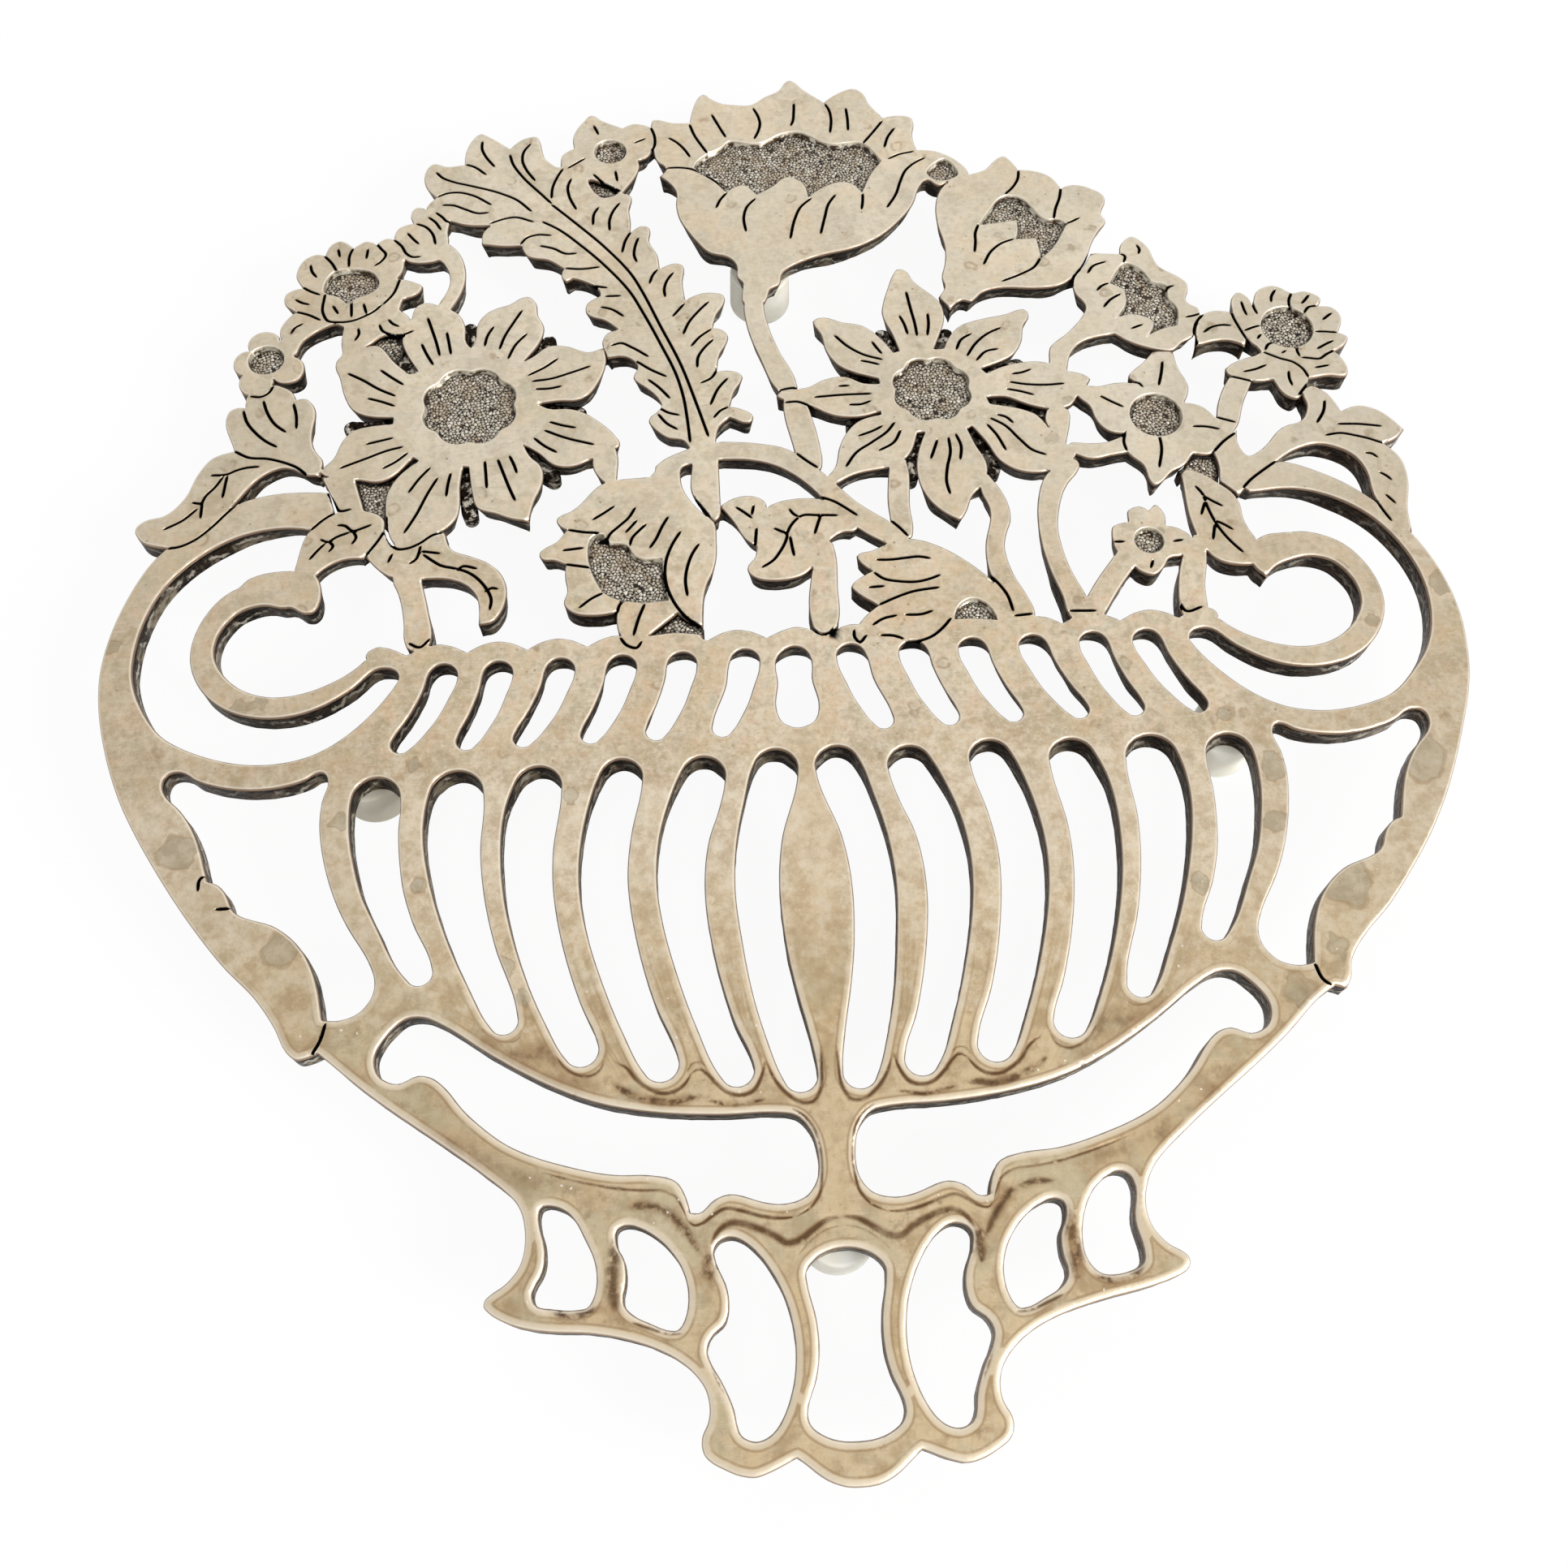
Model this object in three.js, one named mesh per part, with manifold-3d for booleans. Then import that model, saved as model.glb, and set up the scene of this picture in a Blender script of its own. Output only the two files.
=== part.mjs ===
import * as THREE from "three";
import { mergeVertices } from "three/addons/utils/BufferGeometryUtils.js";
import Module from "manifold-3d";

// A flat pierced table trivet: a two-handled urn filled with flowers, cast in one piece,
// standing on four soft caps pushed over pegs cast under it.
// Drawn flat, seen from above: u runs to the right, v towards the flowers, both in
// hundredths of the plate's width; u is zero on the middle line of the urn and v is zero
// at the foot of the urn's scalloped rim. Points with a third number 1 are corners;
// in the strokes the third number is half the stroke's width.

const plateWidth = 203;
const plateThickness = 4;
const pocketDepth = 0.9;

const footDiameter = 10.4;
const footHeight = 8;
const footEdgeRadius = 1.4;
const pegDiameter = 6;
const pegLength = 5;
const contactGap = 0.3;

const facetSag = 0.1;
const footSides = 28;
const footEdgeSteps = 3;

const splineSteps = 8;
const fewestSteps = 4;
const weldSize = 0.002;
const spanShares = 100;
const shareUnit = plateWidth / spanShares;

const silverColour = 0xc4b494;
const silverRoughness = 0.38;
const silverMetalness = 0.85;
const capColour = 0xe4e4dc;
const capRoughness = 0.45;

const wasm = await Module();
wasm.setup();

// Flat outlines

const splineThrough = (points, closed) => {
  const path = new THREE.CatmullRomCurve3(
    points.map(([u, v, w = 0]) => new THREE.Vector3(u, v, w)), closed, "centripetal");
  const pieces = closed ? points.length : points.length - 1;
  return path.getPoints(pieces * splineSteps);
};

const distanceToChord = (point, start, end) => {
  const along = new THREE.Vector2(end.x - start.x, end.y - start.y);
  const reach = new THREE.Vector2(point.x - start.x, point.y - start.y);
  const length = along.length();
  if (length < weldSize) return reach.length();
  return Math.abs(along.cross(reach)) / length;
};

// Leaves out the points of a path that lie within the facet sag of its chords.
const thinned = (path) => {
  if (path.length < 3) return path;
  const first = path[0];
  const last = path[path.length - 1];
  let worst = 0;
  let worstAt = 0;
  for (let i = 1; i < path.length - 1; i++) {
    const off = distanceToChord(path[i], first, last);
    if (off > worst) {
      worst = off;
      worstAt = i;
    }
  }
  if (worst < facetSag / shareUnit) return [first, last];
  const before = thinned(path.slice(0, worstAt + 1));
  const after = thinned(path.slice(worstAt));
  return [...before.slice(0, -1), ...after];
};

// A closed outline, smooth from corner to corner.
const outline = (points) => {
  const corners = points.map((point, i) => (point[2] === 1 ? i : -1)).filter((i) => i >= 0);
  const flat = points.map(([u, v]) => [u, v]);
  if (corners.length === 0) {
    const ring = splineThrough(flat, true);
    const half = Math.floor(ring.length / 2);
    return [...thinned(ring.slice(0, half + 1)).slice(0, -1), ...thinned(ring.slice(half)).slice(0, -1)];
  }
  const ring = [];
  corners.forEach((start, k) => {
    const end = corners[(k + 1) % corners.length];
    const count = (end - start + points.length - 1) % points.length + 1;
    const run = [];
    for (let i = 0; i <= count; i++) run.push(flat[(start + i) % points.length]);
    ring.push(...thinned(splineThrough(run, false)).slice(0, -1));
  });
  return ring;
};

// Facets along an arc, few enough that each stays within the facet sag.
const stepsRound = (radius, angle) => {
  const facet = 2 * Math.acos(1 - Math.min(facetSag / (radius * shareUnit), 1));
  return Math.max(Math.ceil(angle / facet), fewestSteps);
};

// A band along a smooth middle line, with round ends.
const stroke = (stations) => {
  const middle = splineThrough(stations, false);
  const left = [];
  const right = [];
  const tangentAt = (i) => {
    const before = middle[Math.max(i - 1, 0)];
    const after = middle[Math.min(i + 1, middle.length - 1)];
    return Math.atan2(after.y - before.y, after.x - before.x);
  };
  middle.forEach((point, i) => {
    const across = tangentAt(i) + Math.PI / 2;
    const side = new THREE.Vector3(Math.cos(across), Math.sin(across), 0);
    left.push(point.clone().addScaledVector(side, point.z));
    right.push(point.clone().addScaledVector(side, -point.z));
  });
  const cap = (point, angle) => {
    const bow = [];
    const steps = stepsRound(point.z, Math.PI);
    for (let i = 1; i < steps; i++) {
      const turn = angle + Math.PI / 2 - (Math.PI * i) / steps;
      bow.push(new THREE.Vector3(
        point.x + point.z * Math.cos(turn), point.y + point.z * Math.sin(turn), 0));
    }
    return bow;
  };
  const last = middle.length - 1;
  const endCap = cap(middle[last], tangentAt(last));
  const startCap = cap(middle[0], tangentAt(0) + Math.PI);
  return [...thinned(left), ...endCap, ...thinned(right.reverse()), ...startCap];
};

const roundOutline = ([u, v, radius]) => {
  const ring = [];
  const steps = stepsRound(radius, 2 * Math.PI);
  for (let i = 0; i < steps; i++) {
    const turn = (2 * Math.PI * i) / steps;
    ring.push(new THREE.Vector3(u + radius * Math.cos(turn), v + radius * Math.sin(turn), 0));
  }
  return ring;
};

// A flower's middle: a ring whose radius swells once for every petal.
const lobedOutline = ([u, v, radius, lobes, swell]) => {
  const ring = [];
  const steps = lobes * splineSteps;
  for (let i = 0; i < steps; i++) {
    const turn = (2 * Math.PI * i) / steps;
    const reach = radius + swell * Math.abs(Math.sin((lobes * turn) / 2));
    ring.push([u + reach * Math.cos(turn), v + reach * Math.sin(turn)]);
  }
  return outline(ring);
};

const mirrored = (points) => points.map(([u, ...rest]) => [-u, ...rest]);

// Solids

const toSolid = (geometry) => {
  geometry.deleteAttribute("normal");
  geometry.deleteAttribute("uv");
  const welded = mergeVertices(geometry, weldSize);
  const { array } = welded.index;
  const whole = [];
  for (let i = 0; i < array.length; i += 3) {
    const [a, b, c] = [array[i], array[i + 1], array[i + 2]];
    if (a !== b && b !== c && c !== a) whole.push(a, b, c);
  }
  return new wasm.Manifold(new wasm.Mesh({
    numProp: 3,
    vertProperties: new Float32Array(welded.attributes.position.array),
    triVerts: new Uint32Array(whole),
  }));
};

const slab = (ring, bottom, height) => {
  const points = ring.map((point) => new THREE.Vector2(point.x * shareUnit, point.y * shareUnit));
  const geometry = new THREE.ExtrudeGeometry(
    new THREE.Shape(points), { depth: height, bevelEnabled: false, steps: 1 });
  geometry.translate(0, 0, bottom);
  return toSolid(geometry);
};

const turned = (profile, u, v, bottom) => {
  const geometry = new THREE.LatheGeometry(
    profile.map(([radius, height]) => new THREE.Vector2(radius, height)), footSides);
  geometry.rotateX(Math.PI / 2);
  geometry.translate(u * shareUnit, v * shareUnit, bottom);
  return toSolid(geometry);
};

const meshOf = (solid, name, colour, roughness, metalness) => {
  const { numProp, vertProperties, triVerts } = solid.getMesh();
  const positions = new Float32Array((vertProperties.length / numProp) * 3);
  for (let i = 0; i < positions.length / 3; i++) {
    for (let axis = 0; axis < 3; axis++) {
      positions[i * 3 + axis] = vertProperties[i * numProp + axis];
    }
  }
  const geometry = new THREE.BufferGeometry();
  geometry.setAttribute("position", new THREE.BufferAttribute(positions, 3));
  geometry.setIndex(new THREE.BufferAttribute(new Uint32Array(triVerts), 1));
  geometry.computeVertexNormals();
  const mesh = new THREE.Mesh(geometry, new THREE.MeshStandardMaterial({
    color: colour, roughness, metalness }));
  mesh.name = name;
  return mesh;
};

// The urn, right half; the left half mirrors it but for the handle's outer edge.

const rimTopShare = 0.5;
const scallopRiseShare = 0.8;
const scallopShoulderShare = 0.58;
const scallopPitchShare = 4.4;
const scallopCount = 7;

const scallopedRim = () => {
  const quarter = scallopPitchShare / 4;
  const crest = rimTopShare + scallopRiseShare;
  const shoulder = rimTopShare + scallopShoulderShare;
  const points = [[0, crest]];
  for (let i = 0; i < scallopCount; i++) {
    const valley = scallopPitchShare / 2 + i * scallopPitchShare;
    points.push([valley, rimTopShare, 1]);
    points.push([valley + quarter, shoulder]);
    points.push([valley + 2 * quarter, crest]);
    if (i < scallopCount - 1) points.push([valley + 3 * quarter, shoulder]);
  }
  return points;
};

// From the rim's end round the handle's opening, then up the inside of the handle to its tip.
const handleRootShares = [
  [31.6, 0.6], [30.6, -0.5, 1], [29.6, -0.6], [29.1, -1.2], [29.3, -1.9], [30.4, -3.5], [32.3, -5.6],
  [35, -7.3], [38.3, -7.85], [41.6, -7.3], [43.3, -6.6],
];
const handleInsideRightShares = [
  [45.1, -4.9], [46.7, -2.8], [47.6, 0], [47.65, 3], [46.8, 5.9], [45, 8.7], [42.5, 10.6],
  [39.6, 11.55], [36.1, 11.4, 1],
];
const handleInsideLeftShares = [
  [45.6, -5.3], [47.3, -3], [48.25, -0.6], [48.4, 1.6], [48, 4.3], [46.8, 7.3], [44.6, 9.8],
  [41.8, 11.5], [38.6, 12.15], [36.2, 11.9, 1],
];
const handleTopShares = [[35.6, 12, 1], [37, 13.1], [38.9, 14.15], [41, 13.45], [43.5, 12]];
const outerEdgeRightShares = [
  [45.5, 10.2], [47, 8.4], [48.3, 6], [49.3, 3.2], [49.8, 0], [49.7, -2.5], [49.2, -5.5], [47.95, -9],
  [46.3, -12.5], [44.4, -16.2], [41.8, -19.8], [39.2, -22.9], [36.7, -25.3], [35.7, -26.7],
  [35.4, -27.9], [34.9, -28.65, 1], [34.2, -28.4, 1],
];
const handleTopLeftShares = [[34.5, 13.2, 1], [35.1, 15.3, 1], [38.6, 15.4], [41.5, 14.8], [44.5, 13]];
const outerEdgeLeftShares = [
  [46.8, 11], [48.2, 9.2], [49.6, 6], [50.4, 3], [50.7, 0], [50.4, -3], [49.6, -6.2], [48.1, -10.2],
  [46.2, -13.7], [44.2, -16.9], [41.95, -20.1], [39.6, -23], [37.4, -25.3], [36, -27.4],
  [35.2, -28.9], [34.6, -29.35, 1], [33.7, -29.2, 1],
];
const baseArmShares = [[33.2, -29, 1], [30.8, -31.1], [28, -33.2], [25, -35.5], [22, -37.75]];
const spurRightShares = [
  [20, -39.6], [19.2, -41.6], [19.35, -43.1], [20.1, -44.2], [21.3, -45.1], [21.3, -45.7],
  [20.6, -46.2], [18.3, -46.85],
];
const spurLeftShares = [
  [20.1, -39.6], [19.7, -41.6], [20, -43.1], [20.8, -44.1], [22.1, -45], [22.2, -45.4],
  [21.4, -46.15], [19.3, -46.95],
];
const baseFootShares = [
  [15, -47.5], [12, -48.4], [10, -49.6], [8.9, -51], [8.75, -52.5], [9.25, -53.7], [9.1, -54.6],
  [8, -55.4], [6.3, -55.95], [4.8, -55.5], [3.7, -55.05, 1], [2.6, -55.8], [1.4, -56.65], [0, -56.85],
];

const urnHalf = (...edges) =>
  [...scallopedRim(), ...handleRootShares, ...edges[0], ...edges[1], ...edges[2],
    ...baseArmShares, ...edges[3], ...baseFootShares];

const urnOutline = () => {
  const right = urnHalf(handleInsideRightShares, handleTopShares, outerEdgeRightShares, spurRightShares);
  const left = urnHalf(handleInsideLeftShares, handleTopLeftShares, outerEdgeLeftShares, spurLeftShares);
  return outline([...right, ...mirrored(left).reverse().slice(1, -1)]);
};

// The hooked inner scroll of a handle, as stations of a stroke, and its folded-back tip.
const scrollShares = [
  [30.4, 0.5, 0.7], [32.1, -1.05, 0.6], [33.9, -2.25, 0.7], [36, -3.1, 0.82], [38.2, -3.3, 0.87],
  [40.6, -2.65, 0.95], [42.45, -1.1, 0.96], [43.45, 1.1, 0.88], [43.15, 3.5, 0.85],
  [41.7, 5.6, 0.95], [39.6, 6.45, 1.1], [37.6, 6.3, 1.25],
];
const scrollTipShares = [
  [38.4, 7.6, 1], [36.8, 7.5], [35.4, 6.8], [34.8, 5.8], [35.2, 4.5, 1], [35.9, 3.75, 1],
  [36.8, 4.6], [38.4, 5.2, 1],
];
const scrollTipLeftShares = [
  [41.6, 6.7, 1], [40.5, 7.8], [39, 8.2], [37.4, 8.3], [36, 8.1], [35.4, 7.4], [35.1, 6], [35.4, 4.85], [36, 4.45],
  [36.9, 4.8], [38.4, 5.5, 1],
];

// Round-ended openings of the rim and the bowl, each a stroke.
const rimSlotTopShares = [3.9, 8.5, 12.9, 17.4, 21.9, 25.9];
const rimSlotFootShares = [5.8, 10.55, 15.2, 20, 24.05, 28.7];
// How far along its lean, how high and how wide a slot is at each station.
const rimSlotStationShares = [[0, -1.45, 1.06], [0.17, -2.9, 0.98], [0.5, -4.8, 0.93], [1, -6.75, 0.74]];
const rimSlot = (i) => {
  const top = rimSlotTopShares[i];
  const lean = rimSlotFootShares[i] - top;
  return rimSlotStationShares.map(([share, v, half]) => [top + lean * share, v, half]);
};
const keyholeShares = [
  [-0.3, -0.35], [0.5, -0.65], [0.95, -1.6], [0.88, -3], [1.1, -4.3], [1.2, -5.6], [0.8, -6.6],
  [-0.4, -7.05], [-1.45, -6.55], [-1.83, -5.5], [-1.7, -4.3], [-1.58, -3], [-1.65, -1.6], [-1.1, -0.7],
];
const fluteShares = [
  [[2.2, -10.25, 1.58], [3, -13, 1.58], [3.72, -16, 1.52], [4, -19, 1.5], [3.92, -21.5, 1.45],
    [3.6, -24.5, 1.4], [3.1, -27.5, 1.42], [2.5, -30, 1.35], [1.95, -32.3, 1.12]],
  [[7.35, -10.55, 1.58], [8.1, -12.8, 1.76], [8.85, -15.2, 1.7], [9.2, -18, 1.64], [9.1, -20.6, 1.52],
    [8.75, -23, 1.42], [8.1, -25.8, 1.3], [7.3, -28.6, 1.2], [6.05, -31.7, 1.12]],
  [[13.15, -10.35, 1.52], [13.8, -12.7, 1.66], [14.3, -15.2, 1.67], [14.5, -18, 1.65],
    [14.2, -21, 1.58], [13.55, -24, 1.47], [12.65, -27, 1.33], [11.75, -29.3, 1.3], [11, -31, 1.2]],
  [[19, -10.75, 1.68], [19.5, -13, 1.86], [19.72, -15.6, 1.77], [19.65, -18.2, 1.68],
    [19.3, -20.6, 1.58], [18.75, -23, 1.48], [17.95, -25.6, 1.37], [17, -28, 1.25], [16.15, -29.75, 1.15]],
  [[24.7, -11, 1.9], [24.88, -13.2, 2.02], [24.8, -15.7, 1.86], [24.45, -18, 1.7],
    [23.85, -20.5, 1.52], [23.05, -23, 1.34], [22.05, -25.5, 1.14], [21.2, -27.5, 0.95]],
  [[30.3, -11, 1.7], [30.35, -13, 1.68], [30.05, -15.5, 1.55], [29.6, -17.7, 1.38],
    [28.75, -20, 1.16], [27.8, -22, 0.98], [26.85, -23.9, 0.9]],
];

const sideWindowShares = [
  [33.75, -9.2], [34.2, -8.7], [35.4, -9.25], [37.5, -9.75], [40, -9.7], [42.6, -9], [44.2, -8.1],
  [45.1, -8.4], [45.1, -9.6], [43.8, -11.1], [42.6, -13], [41.9, -15], [41.45, -16.5, 1],
  [40.6, -16.9], [39.95, -17.8], [39.65, -18.55, 1], [38, -19.35], [36, -20.5], [34.6, -22],
  [33.7, -23.9], [33.3, -25.5], [33.05, -26.75, 1], [32, -26.85], [30.7, -26.4], [29.85, -25.2],
  [29.85, -23.9], [30.8, -22], [32.2, -19.6], [33.4, -16.5], [34.1, -13], [34.05, -11],
];
const crescentShares = [
  [1.2, -37.8], [1.45, -36.2], [2.3, -35], [3.4, -34.7], [7, -34.6], [11, -34.25], [15, -33.4],
  [18.4, -31.95], [22, -29.8], [24.6, -28], [26.3, -27.05], [27.6, -27.05], [28.8, -28.1],
  [29.5, -29.4], [29.2, -30.7], [28, -31.3], [26.7, -30.85], [25.5, -31.2], [24, -32.95],
  [22.3, -34.6], [20.4, -35.95], [17.5, -37.1], [14.5, -37.9], [11.4, -38.2], [10.2, -38.65],
  [9.6, -39.8], [9.4, -40.6, 1], [8.9, -40.65], [7.9, -39.9], [6.8, -39.6], [5.6, -40],
  [3.6, -40.4], [2.1, -40], [1.35, -39],
];
const baseWindowShares = [
  [[6.9, -42.25], [7.7, -42.45], [8.05, -43], [7.65, -44.3], [7.25, -45.8], [7.5, -47.2],
    [8.5, -48.15], [8.7, -48.9], [7.9, -50.6], [7.25, -52.2], [6.9, -53.6], [6, -54], [4.9, -53.5],
    [3.8, -51.5], [3.4, -49], [3.75, -46.4], [4.8, -44.1], [6, -42.7]],
  [[13.3, -41.15], [14, -41.4], [14, -42.3], [13.55, -43.3], [13.5, -44.5], [13.65, -45.8],
    [12.9, -46.6], [11.5, -47.2], [10.5, -47.5], [9.95, -46.8], [9.75, -45.2], [10.3, -43.5],
    [11.7, -41.9]],
];
const endWindowShares = [
  [17.8, -39.7], [18.5, -40.1], [18.5, -41.2], [18.3, -42.6], [18.4, -44], [18.5, -45.2],
  [17.6, -45.75], [15.8, -45.8], [15, -44.8], [15, -42.9], [15.8, -41], [16.9, -40],
];
const endWindowLeftShares = [
  [17.8, -39.75], [18.7, -39.75], [18.8, -40.7], [18.45, -42.3], [18.6, -43.6], [19.25, -44.9],
  [18.9, -45.6], [17.4, -45.8], [15.9, -45.85], [15.35, -44.7], [15.45, -43.1], [16.3, -41.3], [17, -40.2],
];
const baseMiddleWindowShares = [
  [0, -43.3], [1.4, -43.6], [2.4, -44.5], [2.35, -45.6], [2, -47.4], [1.95, -49.2], [2.3, -51],
  [2.9, -52.6], [2.7, -53.4], [1.5, -54.15], [0, -54.35],
];

const urnOpenings = () => {
  const half = [];
  rimSlotTopShares.forEach((top, i) => half.push([stroke, rimSlot(i)]));
  fluteShares.forEach((stations) => half.push([stroke, stations]));
  half.push([outline, sideWindowShares], [outline, crescentShares]);
  baseWindowShares.forEach((points) => half.push([outline, points]));
  const middle = [...baseMiddleWindowShares, ...mirrored(baseMiddleWindowShares).reverse().slice(1, -1)];
  return [
    ...half.map(([shape, points]) => shape(points)),
    ...half.map(([shape, points]) => shape(mirrored(points))),
    outline(keyholeShares), outline(middle),
    outline(endWindowShares), outline(mirrored(endWindowLeftShares)),
  ];
};

// The flowers, leaves and stems. Each is its own outline; where they meet they grow together.

const leftFlowerShares = [
  [-28.7, 26.7, 1], [-29.4, 28], [-30.1, 30], [-29.5, 31.8], [-29.1, 33.4], [-28.4, 33.8], [-27, 33.4],
  [-25.6, 32.5], [-25, 31.1], [-24.85, 29.4], [-24.5, 28.9, 1], [-24.2, 29.6], [-24, 31.4], [-23.1, 32.6],
  [-21.4, 33.3], [-20, 34.05], [-19.3, 33.4], [-19.1, 32], [-18.6, 30.7], [-18.8, 29.5], [-19.5, 28.3],
  [-20.2, 27.3, 1], [-19.4, 27.8], [-18.2, 28.75], [-16.6, 28.6], [-15, 27.95], [-13.8, 28.4, 1],
  [-13.6, 27.2, 1], [-14, 25.8], [-14.6, 24.2], [-15.8, 23.2], [-17.4, 23.15], [-19.1, 22.95, 1],
  [-18.3, 22.45], [-16.5, 22.3], [-15, 21.6], [-13.8, 20.3], [-12.75, 19.1], [-12.7, 18.5], [-13.6, 18],
  [-14.9, 17.35], [-16.4, 16.7], [-17.8, 16.9], [-18.9, 18], [-20.2, 19, 1], [-19.7, 17.9],
  [-18.75, 16.7], [-18.7, 15.3], [-19.3, 13.7], [-19.75, 11.8, 1], [-20.9, 12], [-22.4, 12.65],
  [-23.7, 13.2], [-24.15, 14.9], [-24.45, 17.1, 1], [-24.85, 17.2, 1], [-25.05, 15.5], [-25.15, 12.6],
  [-26, 11.5], [-27.6, 10.4], [-29.2, 9.75], [-30, 10.3], [-30.4, 12.2], [-30.75, 14.2], [-30.3, 15.8],
  [-29.3, 17.1], [-28.35, 17.9, 1], [-28.75, 18.25, 1], [-29.8, 17.2], [-30.9, 16.15], [-33, 16.4],
  [-35.2, 16.7], [-35.9, 17.3], [-35, 18.4], [-34.4, 20], [-33.6, 21.05], [-32.2, 21.45], [-30.5, 21.6, 1],
  [-30.5, 22.2, 1], [-32.4, 22.4], [-33.7, 23.1], [-34.5, 24.7], [-34.95, 26.5], [-35.35, 27.8],
  [-34.9, 28.65, 1], [-33.4, 29.4], [-31.9, 29.45], [-30.8, 28], [-29.4, 26.5, 1],
];
const rightFlowerShares = [
  [10.15, 26.7, 1], [9.7, 28.6], [9.1, 30.6], [9.5, 32.5], [10.3, 34.5], [10.75, 35.35], [11.4, 35.25],
  [12, 34.1], [13.1, 32.8], [14, 31.6], [14.2, 30.1], [13.75, 28.6], [13, 26.8, 1], [13.8, 26.8, 1],
  [14.3, 27.9], [15.4, 29.1], [17.2, 29.7], [19.4, 30.15], [20.8, 30.55], [21.2, 30], [20.6, 28.8],
  [20.15, 27], [19.3, 25.8], [17.8, 25.1], [16.6, 24.6, 1], [17, 24.1, 1], [18.5, 24.75], [20.7, 25.1],
  [22.3, 24.85], [23.4, 24.1], [24.6, 23.55], [25.3, 23.1], [25, 22.55], [24.2, 21.7], [23.3, 20.5],
  [21.7, 20.25], [19.9, 20.8], [18.2, 21.65], [16.7, 21.7, 1], [16.9, 21.05, 1], [18.6, 20.55],
  [20.3, 19.9], [21.1, 18.8], [22, 17.2], [23.1, 16.1], [22.9, 15.4], [21.7, 14.6], [20, 14.15],
  [18.2, 14.5], [16.9, 15.6], [16.2, 17.2], [15.2, 18.9, 1], [14.8, 18.7, 1], [15.3, 17],
  [15.95, 15.2], [15.6, 13.5], [14.5, 12.3], [13.7, 10.6], [13.2, 10.1], [12.6, 10.6], [11.4, 11.6],
  [10.6, 13.2], [10.4, 15.1], [10.8, 17], [11.4, 18.5, 1], [10.8, 18.5, 1], [10.2, 16.8], [9.1, 15.6],
  [7, 15], [5, 14.55], [3.5, 13.7], [3, 14.2], [3.9, 15.3], [4.4, 17.1], [5.2, 18.8], [6.3, 19.9],
  [8.1, 20.45, 1], [8.1, 20.75, 1], [6.4, 20.3], [4.4, 20.5], [2.6, 21.5], [0.9, 22.1], [-0.1, 22.7],
  [0.6, 23.3], [2.3, 23.4], [4, 24.2], [5.5, 24.35], [7, 23.6], [8.25, 23.5, 1], [8.2, 24, 1],
  [6.7, 24.6], [5.2, 25.4], [4.2, 27], [3.9, 28.8], [3.35, 30.2], [4.1, 30.55], [5.8, 29.95],
  [7.4, 29.5], [8.7, 28.2], [9.7, 26.6, 1],
];

const topTulipShares = [
  [-9.3, 52.8, 1], [-9.1, 53.6], [-8.4, 53.5], [-7.4, 53.2], [-5.9, 53.1, 1], [-5.6, 54.6], [-5, 56.2],
  [-4.55, 56.6], [-3.9, 56], [-2.8, 55.3], [-0.4, 55.05, 1], [0.9, 55.95], [2.2, 56.7], [3.2, 57.95],
  [4.3, 56.8], [6.1, 55.05, 1], [7.3, 56], [8.8, 56.6], [9.6, 56.1], [10.1, 54.7], [11.2, 52.9, 1],
  [12.3, 53.1], [13.6, 52.85], [13.85, 52.2], [13.6, 50.6], [13.8, 48.9, 1], [15.4, 48.65], [16.9, 47.7],
  [17.9, 46.4], [18.1, 45.6, 1], [16.4, 45.2, 1], [15.3, 44.6], [14.3, 45.3], [13.5, 44.3], [12.8, 42.5],
  [11.6, 40.9], [10, 39.35], [7.8, 38.1], [5, 37.4], [2.9, 36.65], [1.3, 35.6], [0.9, 34.3, 1],
  [0.1, 33.8], [-0.5, 32.4], [-2.2, 32.4], [-2.15, 34.5, 1], [-2.6, 35.2], [-2.6, 36.5], [-3.2, 37.4],
  [-4.9, 38.1], [-6, 39.7], [-7.1, 41.7], [-7.4, 43.4], [-7.35, 45], [-8, 46.2], [-8.7, 46.9, 1],
  [-8.1, 47.75], [-8.9, 48.7], [-9.2, 50.5],
];
const roseShares = [
  [18, 45.75, 1], [19.4, 46.2], [20.6, 47.4], [21.3, 47.75], [21.9, 47.1], [22.4, 46.1, 1],
  [23.8, 45.85], [25, 45.2], [25.8, 43.8, 1], [27, 44.1], [28.6, 43.45], [29.4, 42.6], [29.2, 41.4],
  [28.85, 40.4, 1], [29.1, 39.8], [28.4, 38.8], [27.5, 37.3], [26.9, 35.8], [25.8, 34.1], [24.3, 33],
  [22.4, 32.75], [18.9, 32.9], [17.6, 32.5], [16.6, 31.6], [15.8, 31.75], [14.8, 30.95, 1],
  [13.95, 32.2, 1], [14.6, 33.3], [14.45, 34.2], [14.9, 36], [15.05, 37.6], [14.7, 40.2], [14.75, 42.2],
  [15.3, 44], [16.6, 45.4],
];
const smallSunflowerShares = [
  [29.7, 36.1, 1], [29.9, 37], [31, 37.95], [32.1, 36.9], [32.8, 34.6], [33.8, 33.75], [34.85, 32.6],
  [34.7, 31.4], [34.5, 30.6], [35.3, 29.9], [35.4, 29.1, 1], [34.8, 28.2], [34.4, 27], [33.4, 26.4],
  [32.4, 25.6], [30.6, 25.95], [29, 26.7], [28, 27.55, 1], [26.8, 27.3], [25.4, 27], [24.2, 25.9],
  [23.4, 23.6, 1], [22.15, 24.4, 1], [22.3, 25.5], [22.5, 26.5], [24.1, 27.9], [25.6, 29.6], [26, 30.6],
  [25.3, 32.1],
  [25.4, 33.5], [26.4, 34.9], [27.3, 36.3, 1], [28.6, 36.2],
];
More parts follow.
